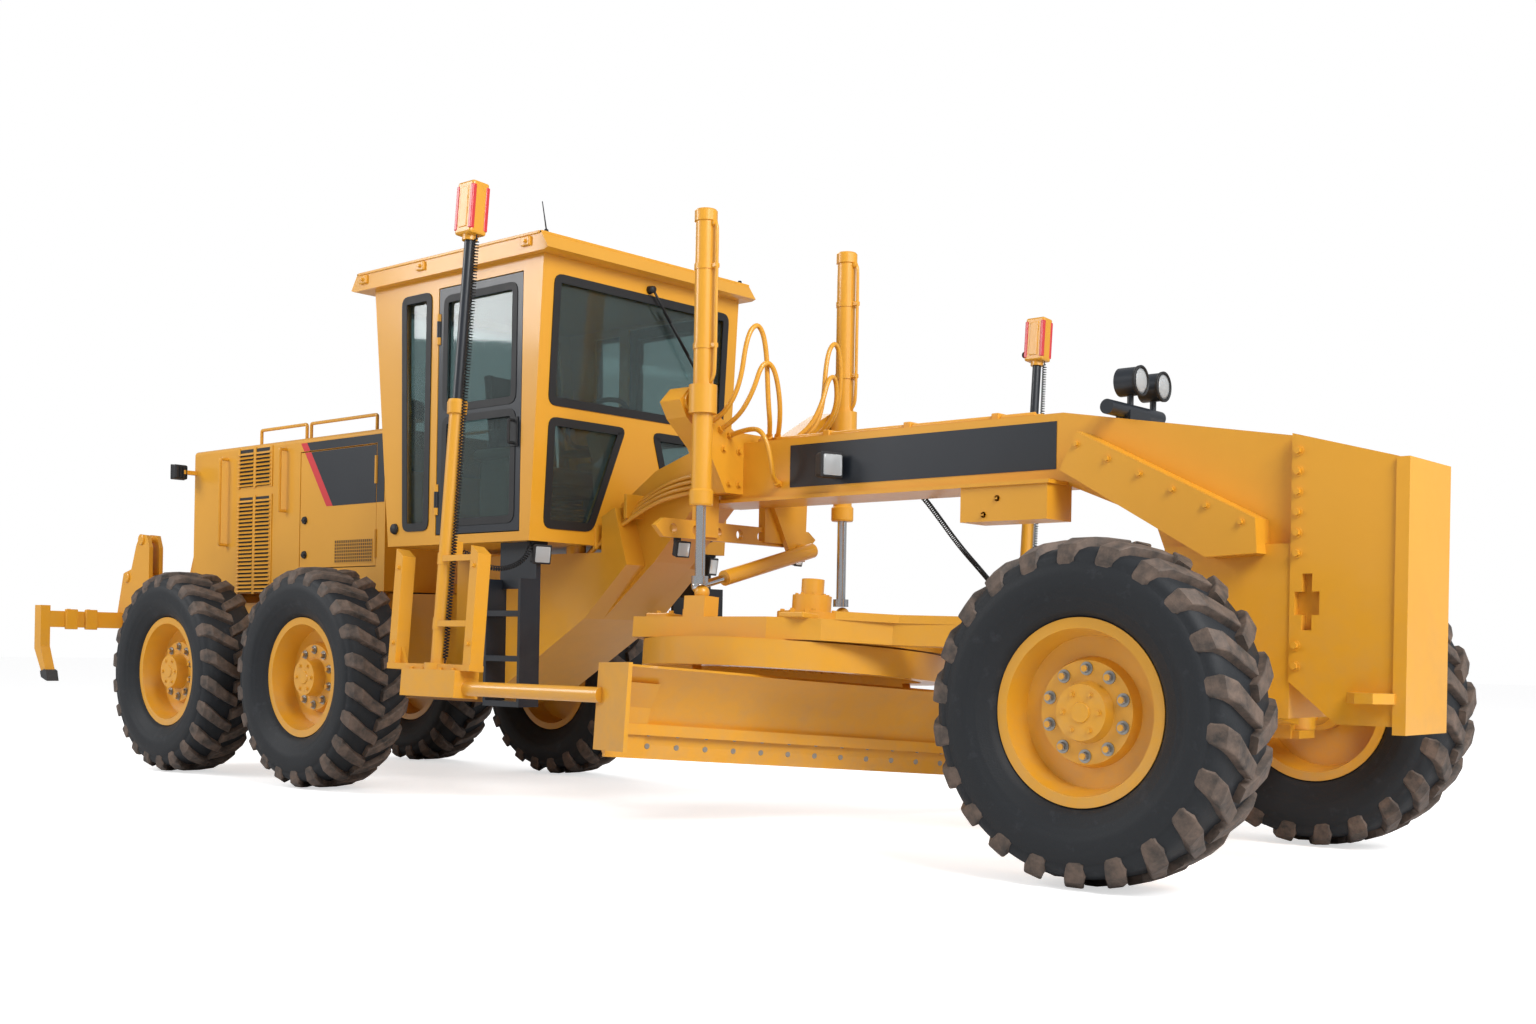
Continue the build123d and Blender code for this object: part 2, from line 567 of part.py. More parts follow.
def circle():
    """Toothed ring under the drawbar, with two legs down to the tip pivots."""
    piece = ring((0, 0, CIRCLE_BOTTOM), (0, 0, CIRCLE_TOP), CIRCLE_OUTER, CIRCLE_INNER)
    piece += ring((0, 0, CIRCLE_TOP - 2), (0, 0, DRAWBAR_BOTTOM - SEAT_GAP), CIRCLE_OUTER - 40,
                  CIRCLE_INNER)
    gear = ring((0, 0, CIRCLE_BOTTOM + 40), (0, 0, CIRCLE_BOTTOM + 100), CIRCLE_INNER + 4, TOOTH_TIP - 20)
    points = []
    for k in range(TOOTH_COUNT):
        for step, radius in ((0.0, TOOTH_TIP), (0.25, TOOTH_TIP), (0.4, TOOTH_ROOT), (0.85, TOOTH_ROOT)):
            turn = radians(360 * (k + step) / TOOTH_COUNT)
            points.append((radius * cos(turn), radius * sin(turn)))
    piece += gear - flat_plate(points, CIRCLE_BOTTOM, CIRCLE_TOP)
    for u in (-LEG_ALONG, LEG_ALONG):
        leg = cross_plate([(430, CIRCLE_BOTTOM + 2), (60 - TIP_AHEAD, 320), (-TIP_AHEAD - 45, 330),
                           (-TIP_AHEAD - 45, 450), (-120, CIRCLE_BOTTOM + 2)], u - 25, u + 25)
        leg += box(u - 25, u + 25, -400, 520, CIRCLE_BOTTOM, CIRCLE_BOTTOM + 80)
        leg &= rod((0, 0, 0), (0, 0, 1000), CIRCLE_OUTER - 10)
        leg -= rod((u - 40, -TIP_AHEAD, TIP_Z), (u + 40, -TIP_AHEAD, TIP_Z), TIP_RADIUS + PIN_CLEARANCE)
        piece += leg
    return on_blade(piece)


def blade_bracket():
    """Cross tube in the circle's legs, with shoes that grip the moldboard's rail."""
    piece = rod((-700, -TIP_AHEAD, TIP_Z), (700, -TIP_AHEAD, TIP_Z), TIP_RADIUS)
    for u in (-500, 500):
        shoe = box(u - 70, u + 70, -RAIL_AHEAD - 30, -TIP_AHEAD, TIP_Z - 60, TIP_Z + 60)
        slot = RAIL_HALF + SEAT_GAP
        shoe -= box(u - 71, u + 71, -RAIL_AHEAD - 60, -RAIL_AHEAD + SEAT_GAP, TIP_Z - slot, TIP_Z + slot)
        piece += shoe
    return on_blade(piece)


def blade_points(shift):
    """Low, middle and high point of the blade's curve, shifted back by a thickness."""
    lean = radians(BLADE_PITCH)
    back = (shift * cos(lean), shift * sin(lean))
    low = (-EDGE_AHEAD, EDGE_Z)
    high = (low[0] - BLADE_CHORD * sin(lean), low[1] + BLADE_CHORD * cos(lean))
    bulge = (BLADE_BULGE * cos(lean), BLADE_BULGE * sin(lean))
    middle = ((low[0] + high[0]) / 2 + bulge[0], (low[1] + high[1]) / 2 + bulge[1])
    return [(y + back[0], z + back[1]) for y, z in (low, middle, high)]


def blade_strip(near, far, rise, drop, thick):
    """A bolted strip on the blade's front face at its lower edge."""
    bow = (BLADE_CHORD ** 2 / 4 + BLADE_BULGE ** 2) / (2 * BLADE_BULGE)
    heights = [0, rise / 3, rise * 2 / 3, rise]
    face = [(-EDGE_AHEAD - bow * (1 - cos(asin(z / bow))), EDGE_Z + z) for z in heights]
    front = [(y - thick, z) for y, z in face]
    back = [(y + 4, z) for y, z in reversed(face)]
    low = [(-EDGE_AHEAD + 4, EDGE_Z - drop), (-EDGE_AHEAD - thick, EDGE_Z - drop)]
    return cross_plate(front + back + low, near, far)


def moldboard():
    """The blade, curved in section."""
    near_face, far_face = blade_points(0), blade_points(BLADE_THICK)
    with BuildSketch(Plane.YZ) as section:
        with BuildLine():
            ThreePointArc(*near_face)
            Line(near_face[2], far_face[2])
            ThreePointArc(*reversed(far_face))
            Line(far_face[0], near_face[0])
        make_face()
    board = Pos(BLADE_NEAR, 0, 0) * extrude(section.sketch, amount=BLADE_LENGTH)
    front_end = -EDGE_AHEAD - BLADE_CHORD * sin(radians(BLADE_PITCH)) / 2 + BLADE_BULGE
    board += box(BLADE_NEAR + 60, BLADE_NEAR + BLADE_LENGTH - 60, front_end, -RAIL_AHEAD,
                 TIP_Z - RAIL_HALF, TIP_Z + RAIL_HALF)
    far = BLADE_NEAR + BLADE_LENGTH
    board += blade_strip(BLADE_NEAR, far, EDGE_RISE, EDGE_DROP, EDGE_THICK)
    for start in (BLADE_NEAR, far - 190):
        board += blade_strip(start, start + 190, 330, EDGE_DROP, EDGE_THICK + 8)
    return on_blade(board)


def mast_barrels():
    """Bars back from both blade ends, with a fixed mast tube on each."""
    pieces = []
    ends = {-1: BLADE_NEAR - SEAT_GAP - 20, 1: BLADE_NEAR + BLADE_LENGTH + SEAT_GAP}
    for side, ((bar_x, bar_y), (x, y)) in MAST_FEET.items():
        plate = on_blade(box(ends[side], ends[side] + 20, -560, -240, 290, 690))
        bar = rod((bar_x, bar_y, MAST_BAR_Z), (x - 120, y, MAST_BAR_Z), MAST_BAR_RADIUS)
        bar += rod((x, y, MAST_BAR_Z), (x, y, MAST_BAR_Z + 120), 70)
        bar += ring((x, y, MAST_BAR_Z + 110), (x, y, MAST_TOP), MAST_RADIUS, POLE_RADIUS + PIN_CLEARANCE)
        y0, y1 = sorted((y - side * 30, y - side * JUNCTION_REACH))
        bar += box(x - JUNCTION_HALF, x + 35, y0, y1, JUNCTION_Z - JUNCTION_HALF, JUNCTION_Z + JUNCTION_HALF)
        bar += box(x + GUARD_BACK, x + GUARD_FRONT + 60, y - 45, y + 45, GUARD_BASE - 30, GUARD_BASE)
        bar += box(x - 200, x + 240, y - 75, y + 75, MAST_BAR_Z - 50, GUARD_BASE - 29)
        for start in (GUARD_BACK, GUARD_FRONT):
            bar += side_plate([(x + start, GUARD_BASE - 1), (x + start, GUARD_TOP),
                               (x + start + 60, GUARD_TOP - 40), (x + start + 60, GUARD_BASE - 1)],
                              y - 40, y + 40)
        bar += side_plate([(x + GUARD_BACK + 59, GUARD_BASE - 1), (x + GUARD_BACK + 59, GUARD_BASE + 90),
                           (x + GUARD_BACK + 110, GUARD_BASE - 1)], y - 8, y + 8)
        for z in (GUARD_TOP - 420, GUARD_TOP - 90):
            bar += ring((x, y, z), (x, y, z + 60), MAST_RADIUS + 4, MAST_RADIUS - 1)
            bar += box(x + 20, x + GUARD_FRONT + 1, y - 38, y - 24, z + 15, z + 45)
        pieces.append(tilted(bar) + plate)
    return pieces


def mast_pole(side):
    """Pole that slides in the mast tube, with the receiver on top."""
    x, y = MAST_FEET[side][1]
    pole = rod((x, y, MAST_TOP - POLE_OVERLAP), (x, y, POLE_TOP), POLE_RADIUS)
    receiver = box(x - RECEIVER_HALF_X, x + RECEIVER_HALF_X, y - RECEIVER_HALF_Y, y + RECEIVER_HALF_Y,
                   POLE_TOP - 4, POLE_TOP + RECEIVER_HEIGHT)
    receiver = chamfer(receiver.edges().filter_by(Axis.Z), 14)
    pole += receiver
    pole += rod((x - RECEIVER_HALF_X - 26, y, POLE_TOP + 50), (x, y, POLE_TOP + 50), 17)
    return tilted(pole)


def hinge_piece(x, y, z, grow):
    """One hinge's middle knuckle, or the cutter that clears it."""
    half = HINGE_LENGTH / 2 + grow
    return rod((x, y, z - half), (x, y, z + half), HINGE_RADIUS + 3 * grow)


def hinge_ends(x, y, z, grow):
    """The knuckles above and below, or the cutter that clears them."""
    start, end = HINGE_LENGTH / 2 + SEAT_GAP - grow, HINGE_LENGTH / 2 + 40 + grow
    radius = HINGE_RADIUS + 3 * grow
    return [rod((x, y, z + way * start), (x, y, z + way * end), radius) for way in (1, -1)]


def with_knuckles(panel, x, y, heights):
    """A door panel with its middle knuckles, cut clear of the fixed ones."""
    for z in heights:
        for cutter in hinge_ends(x, y, z, SEAT_GAP):
            panel -= cutter
        panel += hinge_piece(x, y, z, 0)
    return panel


def with_fixed_knuckles(body, x, y, heights):
    """A body with its outer knuckles, cut clear of the door's ones."""
    for z in heights:
        body -= hinge_piece(x, y, z, SEAT_GAP)
        for piece in hinge_ends(x, y, z, 0):
            body += piece
    return body


def cord_tube(points):
    """A cord's outer tube along straight runs, with arcs as large as the runs allow."""
    spots = [Vector(*point) for point in points]
    radii = []
    for before, corner, after in zip(spots, spots[1:], spots[2:]):
        turn = radians((corner - before).get_angle(after - corner))
        shorter = min((corner - before).length, (after - corner).length)
        radii.append(0.45 * shorter / tan(turn / 2))
    print("cord arcs", [round(radius) for radius in radii])
    path = FilletPolyline(*spots, radius=radii)
    return sweep(Plane(origin=path @ 0, z_dir=path % 0) * Circle(CORD_RADIUS), path=path)


def mast_cord(side):
    """Curly cord down a mast, from the receiver to the foot."""
    x, y = MAST_FEET[side][1]
    top, low = POLE_TOP - 4 - 2 * SEAT_GAP, MAST_BAR_Z + 120 + 2 * SEAT_GAP
    offsets = [(CORD_OFFSET - 5, 0, top), (CORD_OFFSET, 3, top - 420), (CORD_OFFSET + 2, -4, 1900),
               (CORD_OFFSET, 2, 1450), (CORD_OFFSET + 3, -2, 1000), (CORD_OFFSET - 4, 0, low)]
    return cord_tube([tilted_point(x + dx, y + dy, z) for dx, dy, z in offsets])


def bridge_cord(side):
    """Curly cord that sags from the machine across to a mast."""
    x, y = MAST_FEET[side][1]
    near = y - side * (JUNCTION_REACH + 70)
    face = y - side * (JUNCTION_REACH + 8 * SEAT_GAP)
    ends = [tilted_point(x + 4, near, JUNCTION_Z - 4), tilted_point(x, face, JUNCTION_Z)]
    return cord_tube(BRIDGE_ROUTES[side] + ends)


def cab_outline(inset):
    """The cab's side outline, pulled in by a wall."""
    return [(CAB_FRONT_LOW - inset, CAB_FLOOR + inset), (CAB_FRONT_HIGH - inset, CAB_TOP - inset),
            (CAB_REAR_HIGH + inset, CAB_TOP - inset), (CAB_REAR_LOW + inset, CAB_FLOOR + inset)]


def front_windows(grow):
    """Cutters for the front panes: one wide above, two slanted below."""
    x0, x1 = CAB_FRONT_LOW - 200, CAB_FRONT_HIGH + 100
    upper = box(x0, x1, -650 - grow, 650 + grow, 2140 - grow, 2790 + grow)
    quarter = [(640 + grow, 1490 - grow), (640 + grow, 2040 + grow), (120 - grow, 2040 + grow),
               (330 - grow, 1490 - grow)]
    lower = cross_plate(quarter, x0, x1)
    return [upper, lower, mirrored(lower)]


def side_window(grow):
    """Cutter for the narrow fixed pane behind each door, through both sides."""
    return side_plate([(-4450 + grow, 1500 - grow), (-4450 + grow, 2800 + grow),
                       (-4690 - grow, 2800 + grow), (-4650 - grow, 1500 - grow)], -900, 900)


def rear_window(grow):
    """Cutter for the rear pane."""
    return box(CAB_REAR_HIGH - 50, CAB_REAR_LOW + 150, -620 - grow, 620 + grow, 1850 - grow, 2800 + grow)


def cab_shell():
    """Hollow cab body with door openings and windows cut, and its roof."""
    shell = side_plate(cab_outline(0), -CAB_HALF, CAB_HALF)
    shell -= side_plate(cab_outline(CAB_WALL), CAB_WALL - CAB_HALF, CAB_HALF - CAB_WALL)
    shell -= box(DOOR_REAR, DOOR_FRONT, -900, 900, DOOR_BOTTOM, DOOR_TOP)
    for cutter in front_windows(0):
        shell -= cutter
    shell = shell - side_window(0) - rear_window(0)
    for side in (1, -1):
        shell = with_fixed_knuckles(shell, DOOR_REAR + DOOR_GAP, side * (CAB_HALF - 2), CAB_HINGES)
    roof = side_plate([(ROOF_FRONT, CAB_TOP + 10), (ROOF_FRONT - 60, CAB_TOP + ROOF_THICK),
                       (ROOF_REAR + 60, CAB_TOP + ROOF_THICK), (ROOF_REAR, CAB_TOP + 10),
                       (ROOF_REAR + 30, CAB_TOP + SEAT_GAP), (ROOF_FRONT - 30, CAB_TOP + SEAT_GAP)],
                      -ROOF_HALF, ROOF_HALF)
    return [shell, roof]


def cab_glass():
    """The fixed panes, set in their windows."""
    middle = CAB_WALL / 2 - PANE / 2
    front = side_plate([(CAB_FRONT_LOW - middle, CAB_FLOOR), (CAB_FRONT_HIGH - middle, CAB_TOP),
                        (CAB_FRONT_HIGH - middle - PANE, CAB_TOP), (CAB_FRONT_LOW - middle - PANE, CAB_FLOOR)],
                       -CAB_HALF, CAB_HALF)
    rear = side_plate([(CAB_REAR_LOW + middle, CAB_FLOOR), (CAB_REAR_HIGH + middle, CAB_TOP),
                       (CAB_REAR_HIGH + middle + PANE, CAB_TOP), (CAB_REAR_LOW + middle + PANE, CAB_FLOOR)],
                      -CAB_HALF, CAB_HALF)
    panes = [front & cutter for cutter in front_windows(-SEAT_GAP)]
    panes.append(rear & rear_window(-SEAT_GAP))
    for side in (1, -1):
        y0, y1 = sorted((side * (CAB_HALF - middle), side * (CAB_HALF - middle - PANE)))
        panes.append(side_window(-SEAT_GAP) & box(-5000, -4000, y0, y1, 1400, 2900))
    return panes


def cab_door(side):
    """Door with an upper and a lower pane, hinged at its rear edge."""
    x0, x1 = DOOR_REAR + DOOR_GAP, DOOR_FRONT - DOOR_GAP
    z0, z1 = DOOR_BOTTOM + DOOR_GAP, DOOR_TOP - DOOR_GAP
    y1 = CAB_HALF - 2
    y0 = y1 - DOOR_THICK
    split = (z0 + z1) / 2 - 20
    frame = box(x0, x1, y0, y1, z0, z1)
    panes = []
    for low, high in ((z0 + DOOR_FRAME, split - 30), (split + 30, z1 - DOOR_FRAME)):
        frame -= box(x0 + DOOR_FRAME, x1 - DOOR_FRAME, y0 - 1, y1 + 1, low, high)
        panes.append(box(x0 + DOOR_FRAME + SEAT_GAP, x1 - DOOR_FRAME - SEAT_GAP, y0 + 16, y0 + 24,
                         low + SEAT_GAP, high - SEAT_GAP))
    frame = with_knuckles(frame, x0, y1, CAB_HINGES)
    pieces = [frame] + panes
    return pieces if side > 0 else [mirrored(piece) for piece in pieces]


def operator_station():
    """Seat, console and steering wheel on the cab's floor."""
    floor = CAB_FLOOR + CAB_WALL + SEAT_GAP
    seat = box(-4520, -4120, -200, 200, floor, 1720)
    seat += box(-4560, -4060, -250, 250, 1719, 1840)
    seat += side_plate([(-4560, 1839), (-4440, 1839), (-4560, 2420), (-4660, 2400)], -230, 230)
    for y in (-300, 250):
        seat += box(-4480, -4100, y, y + 50, 1980, 2030)
        seat += box(-4500, -4440, y, y + 50, 1780, 2000)
        seat += box(-4500, -4440, min(y, y + 50) - 10, max(y, y + 50) + 10, 1780, 1830)
    console = side_plate([(-3760, floor), (-3660, floor), (-3700, 1950), (-3800, 2080),
                          (-3860, 2040), (-3800, 1900)], -110, 110)
    console += rod((-3790, 0, 2030), (-3870, 0, 2120), 22)
    wheel = Plane(origin=(-3870, 0, 2120), z_dir=(-8, 0, 9)) * Torus(190, 14)
    wheel += Plane(origin=(-3870, 0, 2120), z_dir=(-8, 0, 9)) * Box(380, 36, 12)
    return [seat, console + wheel]


def cab_ladders():
    """A step ladder under the front of each door."""
    ladders = []
    for side in (1, -1):
        y0, y1 = 640, 775
        ladder = box(-3610, -3590, y0, y1, 520, 1200) + box(-3890, -3870, y0, y1, 520, 1200)
        for z in (520, 760, 1000):
            ladder += box(-3890, -3590, y0, y1, z, z + 30)
        ladder += box(-3890, -3590, y0, y0 + 30, 1150, CAB_FLOOR - SEAT_GAP)
        ladders.append(ladder if side > 0 else mirrored(ladder))
    return ladders


def front_lamps():
    """Two head lamps on a cross tube at the beam's front bend."""
    x, z = LAMP_TUBE
    tube = rod((x, -230, z), (x, 230, z), 32)
    tube += box(x - 35, x + 35, -90, 90, BEAM_TOP - 60, z)
    tube -= side_plate([(x - 200, 1700), (x - 200, BEAM_TOP), (-700, BEAM_TOP), (PUSH_BACK_X, 1725.7),
                        (PUSH_BACK_X, 1600)], -400, 400)
    for y in (-30, 170):
        tube += rod((x, y, z), (x, y, z + 90), 14)
        tube += rod((x - 50, y, z + 130), (x + 45, y, z + 130), 62)
    return tube


def hydraulic_lines():
    """Pipes along the beam's top."""
    pipes = []
    for k in range(3):
        y = -60 + 60 * k
        pipes.append(rod((-2560, y, BEAM_TOP + 15 + SEAT_GAP), (-900, y, BEAM_TOP + 15 + SEAT_GAP), 15))
    return pipes


def rear_frame():
    """Rails, hitch nose, axle saddle and bumper under the hood."""
    nose = flat_plate([(-5300, 400), (-5060, HITCH_LUG_RADIUS), (HITCH_X, HITCH_LUG_RADIUS),
                       (HITCH_X, -HITCH_LUG_RADIUS), (-5060, -HITCH_LUG_RADIUS), (-5300, -400)],
                      HITCH_BOTTOM, HITCH_TOP)
    nose += rod((HITCH_X, 0, HITCH_BOTTOM), (HITCH_X, 0, HITCH_TOP), HITCH_LUG_RADIUS)
    nose -= rod((HITCH_X, 0, HITCH_BOTTOM - 1), (HITCH_X, 0, HITCH_TOP + 1),
                HITCH_PIN_RADIUS + PIN_CLEARANCE)
    frame = nose
    for y in (-RAIL_OUTER, RAIL_INNER):
        frame += box(-7500, -5299, y, y + RAIL_OUTER - RAIL_INNER, RAIL_BOTTOM, RAIL_TOP)
    for x in (-5700, -6200, -7000):
        frame += box(x - 60, x + 60, -RAIL_OUTER, RAIL_OUTER, RAIL_BOTTOM, RAIL_TOP)
    frame += box(-7560, -7460, -HOOD_HALF, HOOD_HALF, 760, RAIL_TOP + 200)
    for y in (-RAIL_OUTER, RAIL_INNER):
        frame += box(TANDEM_X - 200, TANDEM_X + 200, y, y + 100, 640, RAIL_BOTTOM + 1)
    frame -= rod((TANDEM_X, -600, TYRE_RADIUS), (TANDEM_X, 600, TYRE_RADIUS), 150 + SEAT_GAP)
    for y in (-RIPPER_ARM_Y - 60, RIPPER_ARM_Y + 30):
        for z in (RIPPER_PIVOT_Z, RIPPER_PIVOT_Z + RIPPER_TOP_RISE):
            frame += box(-7600, -7559, y, y + 30, z - 45, z + 45)
            frame += rod((RIPPER_PIVOT_X, y, z), (RIPPER_PIVOT_X, y + 30, z), 45)
    for z in (TOW_LOW, TOW_HIGH - TOW_PLATE):
        frame += flat_plate([(-7559, -95), (TOW_X - 40, -60), (TOW_X - 60, 0), (TOW_X - 40, 60), (-7559, 95)],
                            z, z + TOW_PLATE)
    frame -= rod((TOW_X, 0, TOW_LOW - 10), (TOW_X, 0, TOW_HIGH + 10), TOW_RADIUS)
    for side in (1, -1):
        for z in (RIPPER_PIVOT_Z, RIPPER_PIVOT_Z + RIPPER_TOP_RISE):
            y0, y1 = sorted((side * (RIPPER_ARM_Y - 45), side * (RIPPER_ARM_Y + 50)))
            frame += rod((RIPPER_PIVOT_X, y0, z), (RIPPER_PIVOT_X, y1, z), 24)
    return frame


def tandem_cases():
    """Drive axle with a chain case on each side, and the wheels' stub axles."""
    axle = rod((TANDEM_X, -TANDEM_INNER - 1, TYRE_RADIUS), (TANDEM_X, TANDEM_INNER + 1, TYRE_RADIUS), 150)
    reach = TANDEM_SPACING / 2
    tip = REAR_TRACK / 2 + BEAD_HALF - REAR_DISC_DEPTH + 36
    for side in (1, -1):
        y0, y1 = sorted((side * TANDEM_INNER, side * TANDEM_OUTER))
        case = box(TANDEM_X - reach, TANDEM_X + reach, y0, y1, TYRE_RADIUS - TANDEM_RADIUS,
                   TYRE_RADIUS + TANDEM_RADIUS)
        for x in (TANDEM_X - reach, TANDEM_X + reach):
            case += rod((x, y0, TYRE_RADIUS), (x, y1, TYRE_RADIUS), TANDEM_RADIUS)
            case += rod((x, side * (TANDEM_OUTER - 1), TYRE_RADIUS), (x, side * 855, TYRE_RADIUS), 95)
            case += rod((x, side * 850, TYRE_RADIUS), (x, side * tip, TYRE_RADIUS), SPINDLE_RADIUS)
        axle += case
    return axle


def side_opening(side, grow):
    """Cutter for a hood side door."""
    y0, y1 = sorted((side * (HOOD_HALF - HOOD_WALL - 10), side * (HOOD_HALF + 10)))
    return box(SIDE_DOOR_REAR - grow, SIDE_DOOR_FRONT + grow, y0, y1, SIDE_DOOR_BOTTOM - grow,
               SIDE_DOOR_TOP + grow)


def hood():
    """Hollow engine enclosure, open below, with an opening for each side door."""
    body = box(HOOD_REAR, HOOD_FRONT, -HOOD_HALF, HOOD_HALF, HOOD_BOTTOM, HOOD_TOP)
    body = fillet(body.edges().filter_by(Axis.X).group_by(Axis.Z)[-1], 30)
    body -= box(HOOD_REAR + HOOD_WALL, HOOD_FRONT - HOOD_WALL, HOOD_WALL - HOOD_HALF,
                HOOD_HALF - HOOD_WALL, HOOD_BOTTOM - 1, HOOD_TOP - HOOD_WALL)
    for side in (1, -1):
        body -= side_opening(side, 0)
        body = with_fixed_knuckles(body, SIDE_DOOR_FRONT - DOOR_GAP, side * (HOOD_HALF - 2), HOOD_HINGES)
        feet0, feet1 = sorted((side * RAIL_INNER, side * (HOOD_HALF - 1)))
        for x in (-5400, -7200):
            body += box(x, x + 80, feet0, feet1, RAIL_TOP + SEAT_GAP, HOOD_BOTTOM + 60)
    cleaner = rod((-5420, -200, HOOD_TOP + SEAT_GAP), (-5420, -200, HOOD_TOP + 90), 60)
    cleaner += rod((-5420, -200, HOOD_TOP + 89), (-5420, -200, HOOD_TOP + 200), 105)
    return [body, cleaner]


def side_door(side):
    """Engine door, hinged at its front edge."""
    door = side_opening(side, -DOOR_GAP)
    y0, y1 = sorted((side * (HOOD_HALF - HOOD_WALL), side * (HOOD_HALF - 2)))
    door &= box(SIDE_DOOR_REAR, SIDE_DOOR_FRONT, y0, y1, 1000, 2200)
    return with_knuckles(door, SIDE_DOOR_FRONT - DOOR_GAP, side * (HOOD_HALF - 2), HOOD_HINGES)


def engine_block():
    """The engine's mass on its cross members."""
    return box(-6350, -5450, -260, 260, RAIL_TOP + SEAT_GAP, 1780)


def ripper_link(side, rise):
    """One parallel arm between the rear frame and the ripper beam."""
    y0, y1 = sorted((side * (RIPPER_ARM_Y - 22), side * (RIPPER_ARM_Y + 22)))
    start = (RIPPER_PIVOT_X, RIPPER_PIVOT_Z + rise)
    end = (start[0] - RIPPER_REACH, start[1] + RIPPER_RISE)
    arm = side_plate([(start[0], start[1] - 40), (start[0], start[1] + 40), (end[0], end[1] + 40),
                      (end[0], end[1] - 40)], y0, y1)
    for x, z in (start, end):
        arm += rod((x, y0, z), (x, y1, z), 48)
    for x, z in (start, end):
        arm -= rod((x, y0 - 1, z), (x, y1 + 1, z), 24 + PIN_CLEARANCE)
    return arm


def ripper_beam():
    """Cross beam with two ears for each arm and a shank at the right end."""
    x = RIPPER_PIVOT_X - RIPPER_REACH
    z = RIPPER_PIVOT_Z + RIPPER_RISE
    beam = box(x - 160, x - 60, -RIPPER_BEAM_HALF, RIPPER_BEAM_HALF, z - 60, z + 60)
    for side in (1, -1):
        for y in (side * RIPPER_ARM_Y - 55, side * RIPPER_ARM_Y + 25):
            high = z + RIPPER_TOWER_RISE
            beam += side_plate([(x - 100, z - 55), (x + 60, z - 50), (x + 250, z + 20), (x + 330, z + 200),
                                (x + 330, high - 90), (x + 290, high), (x + 190, high + 10),
                                (x + 130, high - 70), (x + 60, z + RIPPER_TOP_RISE + 60),
                                (x - 60, z + RIPPER_TOP_RISE + 30), (x - 150, z + 50)], y, y + 30)
        pin = (side * RIPPER_ARM_Y - 54, side * RIPPER_ARM_Y + 54)
        for ahead, rise in ((0, 0), (0, RIPPER_TOP_RISE), (215, RIPPER_TOWER_RISE - 30)):
            beam += rod((x + ahead, pin[0], z + rise), (x + ahead, pin[1], z + rise), 24)
    shank = side_plate([(x - 160, z + 100), (x - 60, z + 100), (x - 60, z - 200), (x + 40, z - 400),
                        (x - 20, z - 420), (x - 160, z - 220)], -RIPPER_BEAM_HALF - 70,
                       -RIPPER_BEAM_HALF - SEAT_GAP)
    return [beam, shank]


def save_wheels():
    """Six wheels, each a tyre and a rim."""
    front, rear = FRONT_TRACK / 2, REAR_TRACK / 2
    for side, word in ((1, "left"), (-1, "right")):
        save(f"tyre_front_{word}", tyre(0, side * front))
        save(f"rim_front_{word}", rim(0, side * front, side, FRONT_DISC_DEPTH))
        for shift, where in ((1, "middle"), (-1, "rear")):
            x = TANDEM_X + shift * TANDEM_SPACING / 2
            save(f"tyre_{where}_{word}", tyre(x, side * rear))
            save(f"rim_{where}_{word}", rim(x, side * rear, side, REAR_DISC_DEPTH))


def save_front():
    """The front frame and everything on it but the wheels."""
    save("front_frame", front_frame())
    save("push_block", push_block())
    save("lift_yoke", lift_yoke())
    save("front_lamps", front_lamps())
    save("hydraulic_lines", *hydraulic_lines())
    save("cab_shell", *cab_shell())
    save("cab_glass", *cab_glass())
    save("operator_station", *operator_station())
    save("cab_ladders", *cab_ladders())
    save("front_axle", *front_axle())
    save("tie_rod", tie_rod())
    for side, word in ((1, "left"), (-1, "right")):
        save(f"steer_knuckle_{word}", steer_knuckle(side))
        frame, *panes = cab_door(side)
        save(f"door_{word}", frame)
        save(f"door_glass_{word}", *panes)


def save_blade_group():
    """Drawbar, circle, blade, their cylinders and the masts."""
    collar, barrel, piston = shift_cylinder()
    save("shift_collar", collar)
    save("shift_cylinder", barrel)
    save("shift_rod", piston)
    save("drawbar_ball", drawbar_ball())
    save("drawbar", drawbar())
    save("circle", circle())
    save("blade_bracket", blade_bracket())
    save("moldboard", moldboard())
    save("mast_barrels", *mast_barrels())
    for side, word in ((1, "left"), (-1, "right")):
        save(f"lift_cylinder_{word}", lift_cylinder(side))
        save(f"lift_rod_{word}", lift_rod(side))
        save(f"mast_pole_{word}", mast_pole(side))
        save(f"mast_cord_{word}", mast_cord(side))
        save(f"bridge_cord_{word}", bridge_cord(side))


def save_rear():
    """The rear frame, drive, hood, engine and ripper."""
    save("rear_frame", rear_frame())
    save("tandem_cases", tandem_cases())
    save("hood", *hood())
    save("engine_block", engine_block())
    for side, word in ((1, "left"), (-1, "right")):
        save(f"side_door_{word}", side_door(side))
    save("ripper_links", ripper_link(1, 0), ripper_link(-1, 0))
    save("ripper_top_links", ripper_link(1, RIPPER_TOP_RISE), ripper_link(-1, RIPPER_TOP_RISE))
    save("ripper_beam", *ripper_beam())


os.makedirs("parts", exist_ok=True)
save_wheels()
save_front()
save_blade_group()
save_rear()
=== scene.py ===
from math import cos, pi, radians, sin

import bmesh
import bpy
from mathutils import Matrix, Vector


